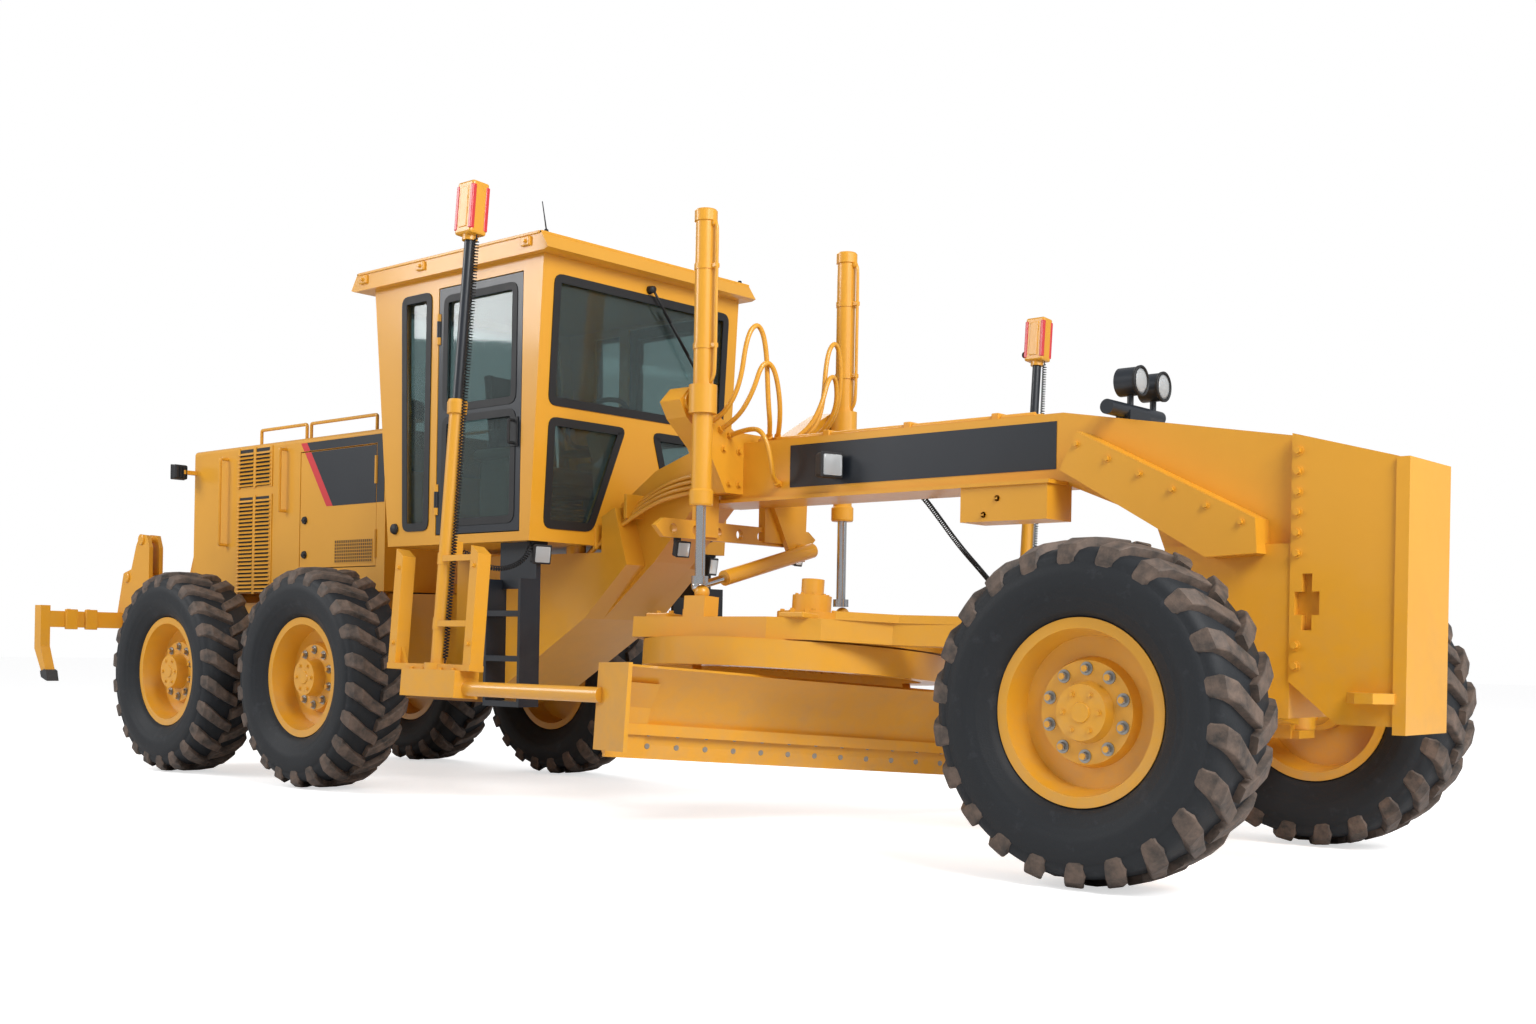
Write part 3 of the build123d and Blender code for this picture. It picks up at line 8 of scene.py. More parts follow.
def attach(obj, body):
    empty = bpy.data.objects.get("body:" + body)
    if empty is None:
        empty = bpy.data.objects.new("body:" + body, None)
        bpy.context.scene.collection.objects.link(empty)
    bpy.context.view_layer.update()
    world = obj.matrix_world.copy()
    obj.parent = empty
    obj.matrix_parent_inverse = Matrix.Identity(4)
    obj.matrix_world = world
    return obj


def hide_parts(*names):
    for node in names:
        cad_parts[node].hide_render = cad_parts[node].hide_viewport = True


# Motor grader: all shapes are written in metres from the ground under the front axle,
# and moved to the model's own frame when a piece is finished.
axleX = -0.83    # the front axle in the model's frame
groundZ = -1.09  # the ground in the model's frame
toFrame = Matrix.Translation((axleX, 0, groundZ))

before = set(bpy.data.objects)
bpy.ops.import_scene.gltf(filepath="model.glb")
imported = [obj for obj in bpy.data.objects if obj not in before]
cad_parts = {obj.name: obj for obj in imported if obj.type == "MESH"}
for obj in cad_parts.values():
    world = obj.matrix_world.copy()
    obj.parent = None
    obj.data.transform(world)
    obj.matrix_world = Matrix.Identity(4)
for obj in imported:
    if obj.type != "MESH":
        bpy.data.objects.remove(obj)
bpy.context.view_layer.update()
print("frame loaded:", len(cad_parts), "nodes")


def linear(hexColour):
    # sRGB hex to the linear colour that the shader sockets take
    steps = [int(hexColour[k:k + 2], 16) / 255 for k in (1, 3, 5)]
    return [s / 12.92 if s <= 0.04045 else ((s + 0.055) / 1.055) ** 2.4 for s in steps] + [1]


def addNode(owner, kind, settings=(), links=()):
    # one shader node, or one that is there: its settings, its sockets by name or number, and what feeds it
    node = owner.node_tree.nodes.new(kind) if isinstance(kind, str) else kind
    for key, value in dict(settings).items():
        if isinstance(key, int) or key in node.inputs:
            node.inputs[key].default_value = value
        else:
            setattr(node, key, value)
    for key, source in dict(links).items():
        owner.node_tree.links.new(source, node.inputs[key])
    return node


def newMaterial(name):
    material = bpy.data.materials.new(name)
    material.use_nodes = True
    return material, material.node_tree.nodes["Principled BSDF"]


# A colour mix has its two colours on these sockets, and its result on this output
mixA, mixB, mixOut = 6, 7, 2

# Paint finishes. shade is how far the colour wanders, grainMm the orange peel or moulded grain,
# dust what settles on it near the ground, and dustTop how thick.
paints = {
    # two-pack enamel sprayed on steel: a warm yellow with a soft gloss and a slight orange peel
    "sprayedYellowEnamel": {"colour": "#E3A22C", "shade": "#D79824", "roughness": 0.34, "coat": 0.35,
                            "grainMm": 3.5, "bump": 0.05, "dust": "#B59468", "dustTop": 0.55},
    # satin enamel: dark with a broad, dull highlight
    "satinBlackEnamel": {"colour": "#1D242D", "shade": "#151A21", "roughness": 0.38, "coat": 0.2,
                         "grainMm": 3.5, "bump": 0.05, "dust": "#57504A", "dustTop": 0.3},
    # gloss enamel band: a flat clear red
    "signalRedEnamel": {"colour": "#D9323A", "shade": "#C22830", "roughness": 0.35, "coat": 0.3,
                        "grainMm": 3.5, "bump": 0.03, "dust": "#8A5A50", "dustTop": 0.2},
    # moulded ABS and pressed rubber with a fine leather grain: dull, near black
    "texturedBlackPlastic": {"colour": "#1B1C1F", "shade": "#131416", "roughness": 0.55, "coat": 0.0,
                             "grainMm": 1.2, "bump": 0.25, "dust": "#4C4842", "dustTop": 0.3},
    # sand-cast iron under thin paint: rough to the eye, grey
    "castIronPaint": {"colour": "#3A3C3E", "shade": "#2C2D2F", "roughness": 0.6, "coat": 0.0,
                      "grainMm": 6.0, "bump": 0.3, "dust": "#5C544A", "dustTop": 0.4},
    # vinyl-coated seat cloth: soft, matt, dark grey
    "vinylSeatCloth": {"colour": "#2B2C2E", "shade": "#1E1F21", "roughness": 0.7, "coat": 0.0,
                       "grainMm": 2.0, "bump": 0.35, "dust": "#55504A", "dustTop": 0.2},
    # injection-moulded ABS: a warm pale grey with a light sheen
    "creamConsolePlastic": {"colour": "#A9A493", "shade": "#8F8A7A", "roughness": 0.5, "coat": 0.0,
                            "grainMm": 1.5, "bump": 0.15, "dust": "#7C7566", "dustTop": 0.2},
}
dustHeight = 1.3  # the road dust thins out to this far above the ground
grainCoarser = 4  # the grain is drawn four times as coarse as the real one, so that it shows


def makePaint(name, look):
    # sprayed or moulded surface: a little colour drift, fine grain, dust that thins with height
    material, shader = newMaterial(name)
    where = addNode(material, "ShaderNodeTexCoord").outputs["Object"]
    drift = addNode(material, "ShaderNodeTexNoise", {"Scale": 1.7, "Detail": 4}, {"Vector": where})
    base = addNode(material, "ShaderNodeMix",
                   {"data_type": "RGBA", mixA: linear(look["colour"]), mixB: linear(look["shade"])},
                   {"Factor": drift.outputs["Fac"]})
    parts = addNode(material, "ShaderNodeSeparateXYZ", (), {"Vector": where})
    height = addNode(material, "ShaderNodeMapRange", {"From Min": groundZ, "From Max": groundZ + dustHeight,
                                                      "To Min": look["dustTop"], "To Max": 0.0},
                     {"Value": parts.outputs["Z"]})
    patches = addNode(material, "ShaderNodeTexNoise", {"Scale": 9, "Detail": 8, "Roughness": 0.7},
                      {"Vector": where})
    spots = addNode(material, "ShaderNodeMapRange", {"From Min": 0.42, "From Max": 0.75},
                    {"Value": patches.outputs["Fac"]})
    amount = addNode(material, "ShaderNodeMath", {"operation": "MULTIPLY"},
                     {0: height.outputs["Result"], 1: spots.outputs["Result"]})
    dusted = addNode(material, "ShaderNodeMix", {"data_type": "RGBA", mixB: linear(look["dust"])},
                     {"Factor": amount.outputs["Value"], mixA: base.outputs[mixOut]})
    rough = addNode(material, "ShaderNodeMapRange",
                    {"To Min": look["roughness"] - 0.05, "To Max": look["roughness"] + 0.12},
                    {"Value": patches.outputs["Fac"]})
    scale = 1000 / (look["grainMm"] * grainCoarser)
    grain = addNode(material, "ShaderNodeTexNoise", {"Scale": scale, "Detail": 2}, {"Vector": where})
    peel = addNode(material, "ShaderNodeBump", {"Strength": look["bump"], "Distance": 0.002},
                   {"Height": grain.outputs["Fac"]})
    addNode(material, shader, {"Coat Weight": look["coat"], "Coat Roughness": 0.12},
            {"Base Color": dusted.outputs[mixOut], "Roughness": rough.outputs["Result"],
             "Normal": peel.outputs["Normal"]})
    return material


def makeRubber(name, colour, worn, wornShare):
    # cured rubber: near black and dull, with brown road dust and scuffs
    material, shader = newMaterial(name)
    where = addNode(material, "ShaderNodeTexCoord").outputs["Object"]
    scuffs = addNode(material, "ShaderNodeTexNoise", {"Scale": 14, "Detail": 10, "Roughness": 0.65},
                     {"Vector": where})
    share = addNode(material, "ShaderNodeMapRange",
                    {"From Min": 0.62 - wornShare, "From Max": 0.8 - wornShare / 2},
                    {"Value": scuffs.outputs["Fac"]})
    base = addNode(material, "ShaderNodeMix", {"data_type": "RGBA", mixA: linear(colour), mixB: linear(worn)},
                   {"Factor": share.outputs["Result"]})
    grain = addNode(material, "ShaderNodeTexNoise", {"Scale": 140, "Detail": 3}, {"Vector": where})
    bump = addNode(material, "ShaderNodeBump", {"Strength": 0.3, "Distance": 0.003},
                   {"Height": grain.outputs["Fac"]})
    addNode(material, shader, {"Roughness": 0.62, "Specular IOR Level": 0.35},
            {"Base Color": base.outputs[mixOut], "Normal": bump.outputs["Normal"]})
    return material


def makeMetal(name, colour, roughness, scratch):
    # bare or plated metal with fine turning marks, drawn coarse enough to show
    material, shader = newMaterial(name)
    where = addNode(material, "ShaderNodeTexCoord").outputs["Object"]
    squeezed = addNode(material, "ShaderNodeMapping", {"Scale": (60, 60, 900)}, {"Vector": where})
    marks = addNode(material, "ShaderNodeTexNoise", {"Scale": 1.0, "Detail": 4},
                    {"Vector": squeezed.outputs["Vector"]})
    rough = addNode(material, "ShaderNodeMapRange", {"To Min": roughness, "To Max": roughness + scratch},
                    {"Value": marks.outputs["Fac"]})
    addNode(material, shader, {"Base Color": linear(colour), "Metallic": 1.0},
            {"Roughness": rough.outputs["Result"]})
    return material


def makeGlass(name, colour, roughness, clear):
    # glass or clear plastic; a faint film of dust keeps it from being empty
    material, shader = newMaterial(name)
    where = addNode(material, "ShaderNodeTexCoord").outputs["Object"]
    film = addNode(material, "ShaderNodeTexNoise", {"Scale": 5, "Detail": 6}, {"Vector": where})
    rough = addNode(material, "ShaderNodeMapRange", {"To Min": roughness, "To Max": roughness + 0.05},
                    {"Value": film.outputs["Fac"]})
    addNode(material, shader, {"Base Color": linear(colour), "IOR": 1.45, "Transmission Weight": clear},
            {"Roughness": rough.outputs["Result"]})
    return material


finish = {name: makePaint(name, look) for name, look in paints.items()}
finish["tyreWallRubber"] = makeRubber("tyreWallRubber", "#1E2125", "#303237", 0.05)
finish["treadRubber"] = makeRubber("treadRubber", "#3A3633", "#6E5D52", 0.28)
finish["cordJacketRubber"] = makeRubber("cordJacketRubber", "#17181A", "#2A2B2D", 0.02)
finish["hardChrome"] = makeMetal("hardChrome", "#D5D8DC", 0.08, 0.08)
finish["zincPlatedSteel"] = makeMetal("zincPlatedSteel", "#A9A8A4", 0.3, 0.15)
finish["tintedCabGlass"] = makeGlass("tintedCabGlass", "#8FA3A3", 0.01, 0.92)
finish["clearLampLens"] = makeGlass("clearLampLens", "#E8ECEE", 0.12, 0.55)
finish["redLampLens"] = makeGlass("redLampLens", "#C0282A", 0.15, 0.35)
print("materials made:", len(finish))

# What each carried-over node is finished in; the rest is yellow.
nodeFinish = {
    "satinBlackEnamel": ["cab_ladders", "front_lamps", "door_left", "door_right"],
    "tintedCabGlass": ["cab_glass", "door_glass_left", "door_glass_right"],
    "hardChrome": ["lift_rod_left", "lift_rod_right", "shift_rod", "drawbar_ball"],
    "vinylSeatCloth": ["operator_station"],
    "castIronPaint": ["engine_block"],
}


def finishNodes():
    chosen = {node: name for name, nodes in nodeFinish.items() for node in nodes}
    for node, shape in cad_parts.items():
        for slot in shape.material_slots:
            slot.material = finish[chosen.get(node, "sprayedYellowEnamel")]


finishNodes()


def showObject(name, data):
    shown = bpy.data.objects.new(name, data)
    bpy.context.scene.collection.objects.link(shown)
    return shown


def showPiece(name, data, body, finishName):
    # an object in one finish, riding on its body
    data.materials.append(finish[finishName])
    piece = showObject(name, data)
    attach(piece, body)
    return piece


def newPiece(name, bm, body, finishName="sprayedYellowEnamel", smooth=False, turn=None):
    # closes the bmesh into a piece in the model's frame
    bmesh.ops.recalc_face_normals(bm, faces=bm.faces)
    bmesh.ops.transform(bm, matrix=toFrame @ (turn or Matrix.Identity(4)), verts=bm.verts)
    mesh = bpy.data.meshes.new(name)
    bm.to_mesh(mesh)
    bm.free()
    for face in mesh.polygons:
        face.use_smooth = smooth
    return showPiece(name, mesh, body, finishName)


def rounded(bm, edges, offset, segments):
    bmesh.ops.bevel(bm, geom=edges, offset=offset, segments=segments, profile=0.5, affect="EDGES",
                    material=-1)


def pour(part, bm, place=None):
    # adds a shape that was made in a bmesh of its own, because an operator can't tell old points from new
    if place:
        bmesh.ops.transform(part, matrix=place, verts=part.verts)
    mesh = bpy.data.meshes.new("part")
    part.to_mesh(mesh)
    part.free()
    bm.from_mesh(mesh)
    bpy.data.meshes.remove(mesh)


def addBox(bm, corner, opposite, bevel=0.0):
    # a box between two opposite corners, given in either order
    low, high = [Vector(ends) for ends in zip(*[sorted(pair) for pair in zip(corner, opposite)])]
    verts = bmesh.ops.create_cube(bm, size=1)["verts"]
    bmesh.ops.scale(bm, vec=high - low, verts=verts)
    bmesh.ops.translate(bm, vec=(high + low) / 2, verts=verts)
    if bevel:
        edges = {edge for vert in verts for edge in vert.link_edges}
        rounded(bm, list(edges), bevel, 2)


def facing(spot, out, axis="Z"):
    # a place at spot whose own axis points along out
    return Matrix.Translation(spot) @ Vector(out).to_track_quat(axis, "Y").to_matrix().to_4x4()


def addRod(bm, start, end, radius, sides=20, tip=None):
    start, end = Vector(start), Vector(end)
    bmesh.ops.create_cone(bm, cap_ends=True, segments=sides, radius1=radius,
                          radius2=radius if tip is None else tip, depth=(end - start).length,
                          matrix=facing((start + end) / 2, end - start))


def pullOut(bm, faces, push):
    pulled = bmesh.ops.extrude_face_region(bm, geom=faces)["geom"]
    bmesh.ops.translate(bm, vec=push, verts=[v for v in pulled if isinstance(v, bmesh.types.BMVert)])


def addPlate(bm, corners, push):
    pullOut(bm, [bm.faces.new([bm.verts.new(corner) for corner in corners])], push)


def roundOutline(corners, radius, steps=4):
    # an outline with each corner turned into a small arc
    spots = [Vector(corner) for corner in corners]
    line = []
    for k, corner in enumerate(spots):
        before = (spots[k - 1] - corner).normalized() * radius
        after = (spots[(k + 1) % len(spots)] - corner).normalized() * radius
        for j in range(steps + 1):
            t = j / steps
            line.append(corner + before * (1 - t) ** 2 + after * t ** 2)
    return line


def addFrame(bm, corners, width, push, radius):
    # a flat ring along an outline, such as a window's rubber seal
    outer = [bm.verts.new(spot) for spot in roundOutline(corners, radius)]
    face = bm.faces.new(outer)
    bm.normal_update()
    ring = bmesh.ops.inset_region(bm, faces=[face], thickness=width, use_even_offset=True,
                                  use_boundary=True)["faces"]
    bmesh.ops.delete(bm, geom=[face], context="FACES")
    pullOut(bm, ring, push)


def routeCurve(name, routes, radius):
    curve = bpy.data.curves.new(name, "CURVE")
    curve.dimensions = "3D"
    curve.bevel_depth = radius
    curve.bevel_resolution = 3
    curve.resolution_u = 6
    for route in routes:
        spline = curve.splines.new("NURBS")
        spline.points.add(len(route) - 1)
        for point, spot in zip(spline.points, route):
            point.co = (*spot, 1)
        spline.order_u = 3
        spline.use_endpoint_u = True
    return curve


def bentTubes(name, body, routes, radius, finishName="sprayedYellowEnamel"):
    # steel hydraulic tubes: one curve with a spline for each
    curve = routeCurve(name, [[toFrame @ Vector(spot) for spot in route] for route in routes], radius)
    curve.use_fill_caps = True
    showPiece(name, curve, body, finishName)


sides = {"left": 1, "right": -1}

# The blade group stands 4 degrees out of level about the drawbar's ball, and the blade turned 72 degrees
blade = {"tilt": radians(-4), "turn": radians(72), "ballZ": 0.85, "circleX": -2.35}
tiltTurn = (Matrix.Translation((0, 0, blade["ballZ"])) @ Matrix.Rotation(blade["tilt"], 4, "X")
            @ Matrix.Translation((0, 0, -blade["ballZ"])))
bladeTurn = tiltTurn @ Matrix.Translation((blade["circleX"], 0, 0)) @ Matrix.Rotation(blade["turn"], 4, "Z")

# Camera: fitted to the photograph from the tyres, the beam and the blade
camera = {"place": (2.2442, -6.3008, -0.2425), "heading": 0.7271, "roll": 0.018, "lens": 38.17,
          "rise": 0.0896}


def setCamera():
    right = Vector((cos(camera["heading"]), sin(camera["heading"]), 0))
    ahead = Vector((-sin(camera["heading"]), cos(camera["heading"]), 0))
    up = Vector((0, 0, 1))
    across = right * cos(camera["roll"]) + up * sin(camera["roll"])
    rise = up * cos(camera["roll"]) - right * sin(camera["roll"])
    data = bpy.data.cameras.new("photoCamera")
    data.sensor_width = 36
    data.lens = camera["lens"]
    data.shift_y = camera["rise"]
    eye = showObject("photoCamera", data)
    turn = Matrix((across, rise, -ahead)).transposed().to_4x4()
    eye.matrix_world = Matrix.Translation(camera["place"]) @ turn
    bpy.context.scene.camera = eye
    bpy.context.scene.view_settings.view_transform = "Standard"


studio = {"floorHalf": 60, "floorColour": "#E9E9EA", "floorGlow": 0.62, "worldLight": 0.42,
          "aim": (-4, 0, 0.2),
          "lamps": {"keyLamp": ((7.0, -3.5, 8), 1500, 6), "hoodLamp": ((-11, -7, 5), 420, 4),
                    "fillLamp": ((9, 3, 5), 260, 6), "backLamp": ((-12, 6, 7), 260, 6)}}
white = (1, 1, 1, 1)


def setSky():
    # white for the camera and through glass, plain grey light on the machine
    world = bpy.data.worlds.new("studioSky")
    world.use_nodes = True
    bpy.context.scene.world = world
    sky = addNode(world, world.node_tree.nodes["Background"],
                  {"Color": white, "Strength": studio["worldLight"]})
    seen = addNode(world, "ShaderNodeBackground", {"Color": white, "Strength": 1})
    rays = addNode(world, "ShaderNodeLightPath")
    either = addNode(world, "ShaderNodeMath", {"operation": "MAXIMUM"},
                     {0: rays.outputs["Is Camera Ray"], 1: rays.outputs["Is Transmission Ray"]})
    pick = addNode(world, "ShaderNodeMixShader", (),
                   {0: either.outputs[0], 1: sky.outputs[0], 2: seen.outputs[0]})
    addNode(world, world.node_tree.nodes["World Output"], (), {0: pick.outputs[0]})


def setFloor():
    # a pale floor that keeps the shadows; its glow is only for the camera
    bm = bmesh.new()
    bmesh.ops.create_grid(bm, x_segments=1, y_segments=1, size=studio["floorHalf"])
    mesh = bpy.data.meshes.new("paleFloor")
    bm.to_mesh(mesh)
    bm.free()
    floor = showObject("paleFloor", mesh)
    floor.location = (studio["aim"][0], 0, groundZ - 0.001)
    material, shader = newMaterial("paleFloor")
    path = addNode(material, "ShaderNodeLightPath")
    glow = addNode(material, "ShaderNodeMath", {"operation": "MULTIPLY", 1: studio["floorGlow"]},
                   {0: path.outputs["Is Camera Ray"]})
    addNode(material, shader, {"Base Color": linear(studio["floorColour"]), "Roughness": 0.75,
                               "Emission Color": white}, {"Emission Strength": glow.outputs[0]})
    mesh.materials.append(material)


def setLamps():
    for name, (place, power, size) in studio["lamps"].items():
        data = bpy.data.lights.new(name, "AREA")
        data.energy = power
        data.size = size
        lamp = showObject(name, data)
        lamp.visible_camera = False  # the side views look from behind some lamps
        lamp.matrix_world = facing(place, Vector(studio["aim"]) - Vector(place), "-Z")


setCamera()
setSky()
setFloor()
setLamps()
print("camera and studio set")

# Curly cords: the wire, the coil that it is wound in, and the routes of their CAD tubes
curlyCord = {"wire": 0.007, "coil": 0.0115, "pitch": 0.0155, "stepsPerTurn": 12, "straightEnd": 0.015}
mastFeet = {"right": (-3.64, -1.25), "left": (-2.5, 2.33)}


def tilted(x, y, z):
    return tiltTurn @ Vector((x, y, z))


def mastRoute(side):
    x, y = mastFeet[side]
    offsets = [(0.055, 0, 2.8554), (0.06, 0.003, 2.44), (0.062, -0.004, 1.9), (0.06, 0.002, 1.45),
               (0.063, -0.002, 1.0), (0.056, 0, 0.6606)]
    return [tilted(x + dx, y + dy, z) for dx, dy, z in offsets]


bridgeRoutes = {
    "right": [(-3.605, -0.7, 1.3974), (-3.603, -0.708, 1.345), (-3.6, -0.77, 1.28),
              (-3.604, -0.88, 1.24), (-3.616, -1.0, 1.25), tilted(-3.636, -1.105, 1.236),
              tilted(-3.64, -1.1726, 1.24)],
    "left": [(-1.75, 0.1524, 1.655), (-1.752, 0.23, 1.645), (-1.765, 0.38, 1.56), (-1.79, 0.64, 1.4),
             (-1.85, 0.96, 1.27), (-1.99, 1.34, 1.17), (-2.19, 1.75, 1.11), (-2.4, 2.06, 1.11),
             tilted(-2.496, 2.185, 1.236), tilted(-2.5, 2.2526, 1.24)],
}


def centreLine(route):
    # even points along the route's own smooth curve
    curve = routeCurve("routeLine", [[toFrame @ Vector(spot) for spot in route]], 0)
    holder = bpy.data.objects.new("routeLine", curve)
    mesh = bpy.data.meshes.new_from_object(holder)
    line = [vert.co.copy() for vert in mesh.vertices]
    bpy.data.objects.remove(holder)
    bpy.data.curves.remove(curve)
    bpy.data.meshes.remove(mesh)
    return line


def pointAlong(line, distance):
    for start, end in zip(line, line[1:]):
        step = end - start
        if distance <= step.length:
            return start + step * (distance / step.length), step.normalized()
        distance -= step.length
    return line[-1], (line[-1] - line[-2]).normalized()


def makeCurlyCord(name, route, body, node):
    line = centreLine(route)
    total = sum((b - a).length for a, b in zip(line, line[1:]))
    coiled = total - 2 * curlyCord["straightEnd"]
    turns = round(coiled / curlyCord["pitch"])
    steps = turns * curlyCord["stepsPerTurn"]
    side = (line[1] - line[0]).orthogonal().normalized()
    points = [line[0]]
    for k in range(steps + 1):
        centre, along = pointAlong(line, curlyCord["straightEnd"] + coiled * k / steps)
        side = (side - along * side.dot(along)).normalized()
        turn = 2 * pi * k / curlyCord["stepsPerTurn"]
        runIn = min(k, steps - k) / curlyCord["stepsPerTurn"]  # the first and last turn come off the line
        spread = curlyCord["coil"] * min(1, runIn)
        points.append(centre + (side * cos(turn) + along.cross(side) * sin(turn)) * spread)
    points.append(line[-1])
    curve = routeCurve(name, [points], curlyCord["wire"] / 2)
    curve.resolution_u = 2
    curve.bevel_resolution = 1
    curve.use_fill_caps = True
    piece = showPiece(name, curve, body, "cordJacketRubber")
    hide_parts(node)
    mesh = bpy.data.meshes.new_from_object(bareCopy(curve, name))
    bpy.data.meshes.remove(mesh)


def bareCopy(curve, name):
    # the cord's line with no thickness
    bare = curve.copy()
    bare.bevel_depth = 0
    bare.use_fill_caps = False
    return bpy.data.objects.new(name + "Line", bare)


for side in ("left", "right"):
    makeCurlyCord(f"mastCurlyCord_{side}", mastRoute(side), "moldboard", f"mast_cord_{side}")
    makeCurlyCord(f"bridgeCurlyCord_{side}", bridgeRoutes[side], "front_frame", f"bridge_cord_{side}")

# Tyres: a revolved carcass with two rows of staggered traction lugs
tyre = {"radius": 0.64, "lugs": 22, "wallSteps": 96, "rightPhase": 0.09}
wheels = {"front_left": (0, 1.02), "front_right": (0, -1.02), "middle_left": (-5.175, 0.94),
          "middle_right": (-5.175, -0.94), "rear_left": (-6.725, 0.94), "rear_right": (-6.725, -0.94)}
# carcass section from the middle of the tread to the bead: across, radius
wallProfile = [(0, 0.609), (0.08, 0.607), (0.145, 0.6), (0.176, 0.586), (0.19, 0.56), (0.188, 0.545),
               (0.194, 0.541), (0.197, 0.5), (0.196, 0.47), (0.191, 0.44), (0.186, 0.436), (0.184, 0.418),
               (0.178, 0.412), (0.16, 0.375), (0.138, 0.353), (0.128, 0.352), (0.126, 0.3225)]
# lug stations: across, radius, height, turn forward, half width
lugPath = [(0.19, 0.522, 0.008, -0.01, 0.036), (0.19, 0.56, 0.01, 0.0, 0.044),
           (0.176, 0.588, 0.026, 0.01, 0.05), (0.14, 0.602, 0.032, 0.05, 0.048),
           (0.07, 0.607, 0.033, 0.13, 0.041), (-0.012, 0.609, 0.031, 0.2, 0.036)]


def addLug(bm, way, start):
    # one traction lug, bent from a bar along the stations of lugPath
    part = bmesh.new()
    bmesh.ops.create_cube(part, size=1)
    long = [e for e in part.edges if abs((e.verts[0].co - e.verts[1].co).x) > 0.5]
    bmesh.ops.subdivide_edges(part, edges=long, cuts=4, use_grid_fill=True)
    top = [e for e in part.edges if min(e.verts[0].co.z, e.verts[1].co.z) > 0.4
           and abs(e.verts[0].co.y - e.verts[1].co.y) < 0.1]
    rounded(part, top, 0.12, 2)
    for vert in part.verts:
        spot = (vert.co.x + 0.5) * (len(lugPath) - 1)
        k = min(int(spot), len(lugPath) - 2)
        low, high = lugPath[k], lugPath[k + 1]
        w, r, h, turn, half = [a + (b - a) * (spot - k) for a, b in zip(low, high)]
        out = (1, 0.15) if k == 0 else (0.6, 0.8) if k == 1 else (0, 1)  # away from the carcass
        lift = h * (vert.co.z + 0.5) - 0.004 * (0.5 - vert.co.z)
        narrow = 1 - 0.18 * (vert.co.z + 0.5)
        angle = start + turn + vert.co.y * 2 * half * narrow / tyre["radius"]
        radius = r + out[1] * lift
        vert.co = (radius * sin(angle), way * (w + out[0] * lift * 0.5), radius * cos(angle))
    pour(part, bm)


def makeTyre(name, x, y):
    bm = bmesh.new()
    for way in (1, -1):
        verts = [bm.verts.new((0, way * w, r)) for w, r in wallProfile]
        for pair in zip(verts, verts[1:]):
            bm.edges.new(pair)
    bmesh.ops.remove_doubles(bm, verts=bm.verts, dist=0.0001)
    ends = [v for v in bm.verts if abs(v.co.z - wallProfile[-1][1]) < 1e-5]
    bm.edges.new(ends)
    bmesh.ops.spin(bm, geom=bm.verts[:] + bm.edges[:], cent=(0, 0, 0), axis=(0, 1, 0), angle=2 * pi,
                   steps=tyre["wallSteps"], use_merge=True)
    place = Matrix.Translation((x, y, tyre["radius"]))
    wall = newPiece(f"tyreWall_{name}", bm, f"wheel_{name}", "tyreWallRubber", True, place)
    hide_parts(f"tyre_{name}")

    bm = bmesh.new()
    for way, start in ((1, 0), (-1, pi / tyre["lugs"])):
        addLug(bm, way, start)
    copies = tyre["lugs"] - 1
    bmesh.ops.spin(bm, geom=bm.verts[:] + bm.edges[:] + bm.faces[:], cent=(0, 0, 0), axis=(0, 1, 0),
                   angle=2 * pi * copies / tyre["lugs"], steps=copies, use_duplicate=True)
    if y < 0:
        bmesh.ops.rotate(bm, cent=(0, 0, 0), matrix=Matrix.Rotation(tyre["rightPhase"], 3, "Y"),
                         verts=bm.verts)
    newPiece(f"tyreLugs_{name}", bm, f"wheel_{name}", "treadRubber", False, place)


for name, (x, y) in wheels.items():
    makeTyre(name, x, y)
print("tyres made")

def addBolt(bm, spot, out, size=0.024):
    # a hex head on a washer that is half sunk in what it holds
    spot, out = Vector(spot), Vector(out).normalized()
    addRod(bm, spot - out * 0.003, spot + out * 0.003, size * 0.75, 16)
    addRod(bm, spot + out * 0.003, spot + out * size * 0.6, size * 0.5, 6)


def ringSpots(centre, radius, count, phase=0.0):
    # even spots on a bolt circle
    turns = [2 * pi * k / count + phase for k in range(count)]
    return [(centre[0] + radius * cos(turn), centre[1] + radius * sin(turn)) for turn in turns]


def addLathe(bm, profile, place, steps=32):
    # spins (radius, height) points round the local Z axis of place
    part = bmesh.new()
    verts = [part.verts.new((r, 0, h)) for r, h in profile]
    edges = [part.edges.new(pair) for pair in zip(verts, verts[1:])]
    bmesh.ops.spin(part, geom=verts + edges, cent=(0, 0, 0), axis=(0, 0, 1), angle=2 * pi,
                   steps=steps, use_merge=True)
    bmesh.ops.remove_doubles(part, verts=part.verts, dist=0.00005)
    pour(part, bm, place)


# Wheel hardware: ten nuts on their studs, and the hub cap with its bolts
hub = {"studs": 10, "studCircle": 0.16, "studPhase": radians(18), "nut": 0.017, "washer": 0.025,
       "washerThick": 0.005, "nutEnd": 0.02, "capBolts": 6, "capBolt": 0.016, "capCircle": 0.075,
       "capFace": 0.1163, "frontSeat": 0.0763, "rearSeat": 0.0463}


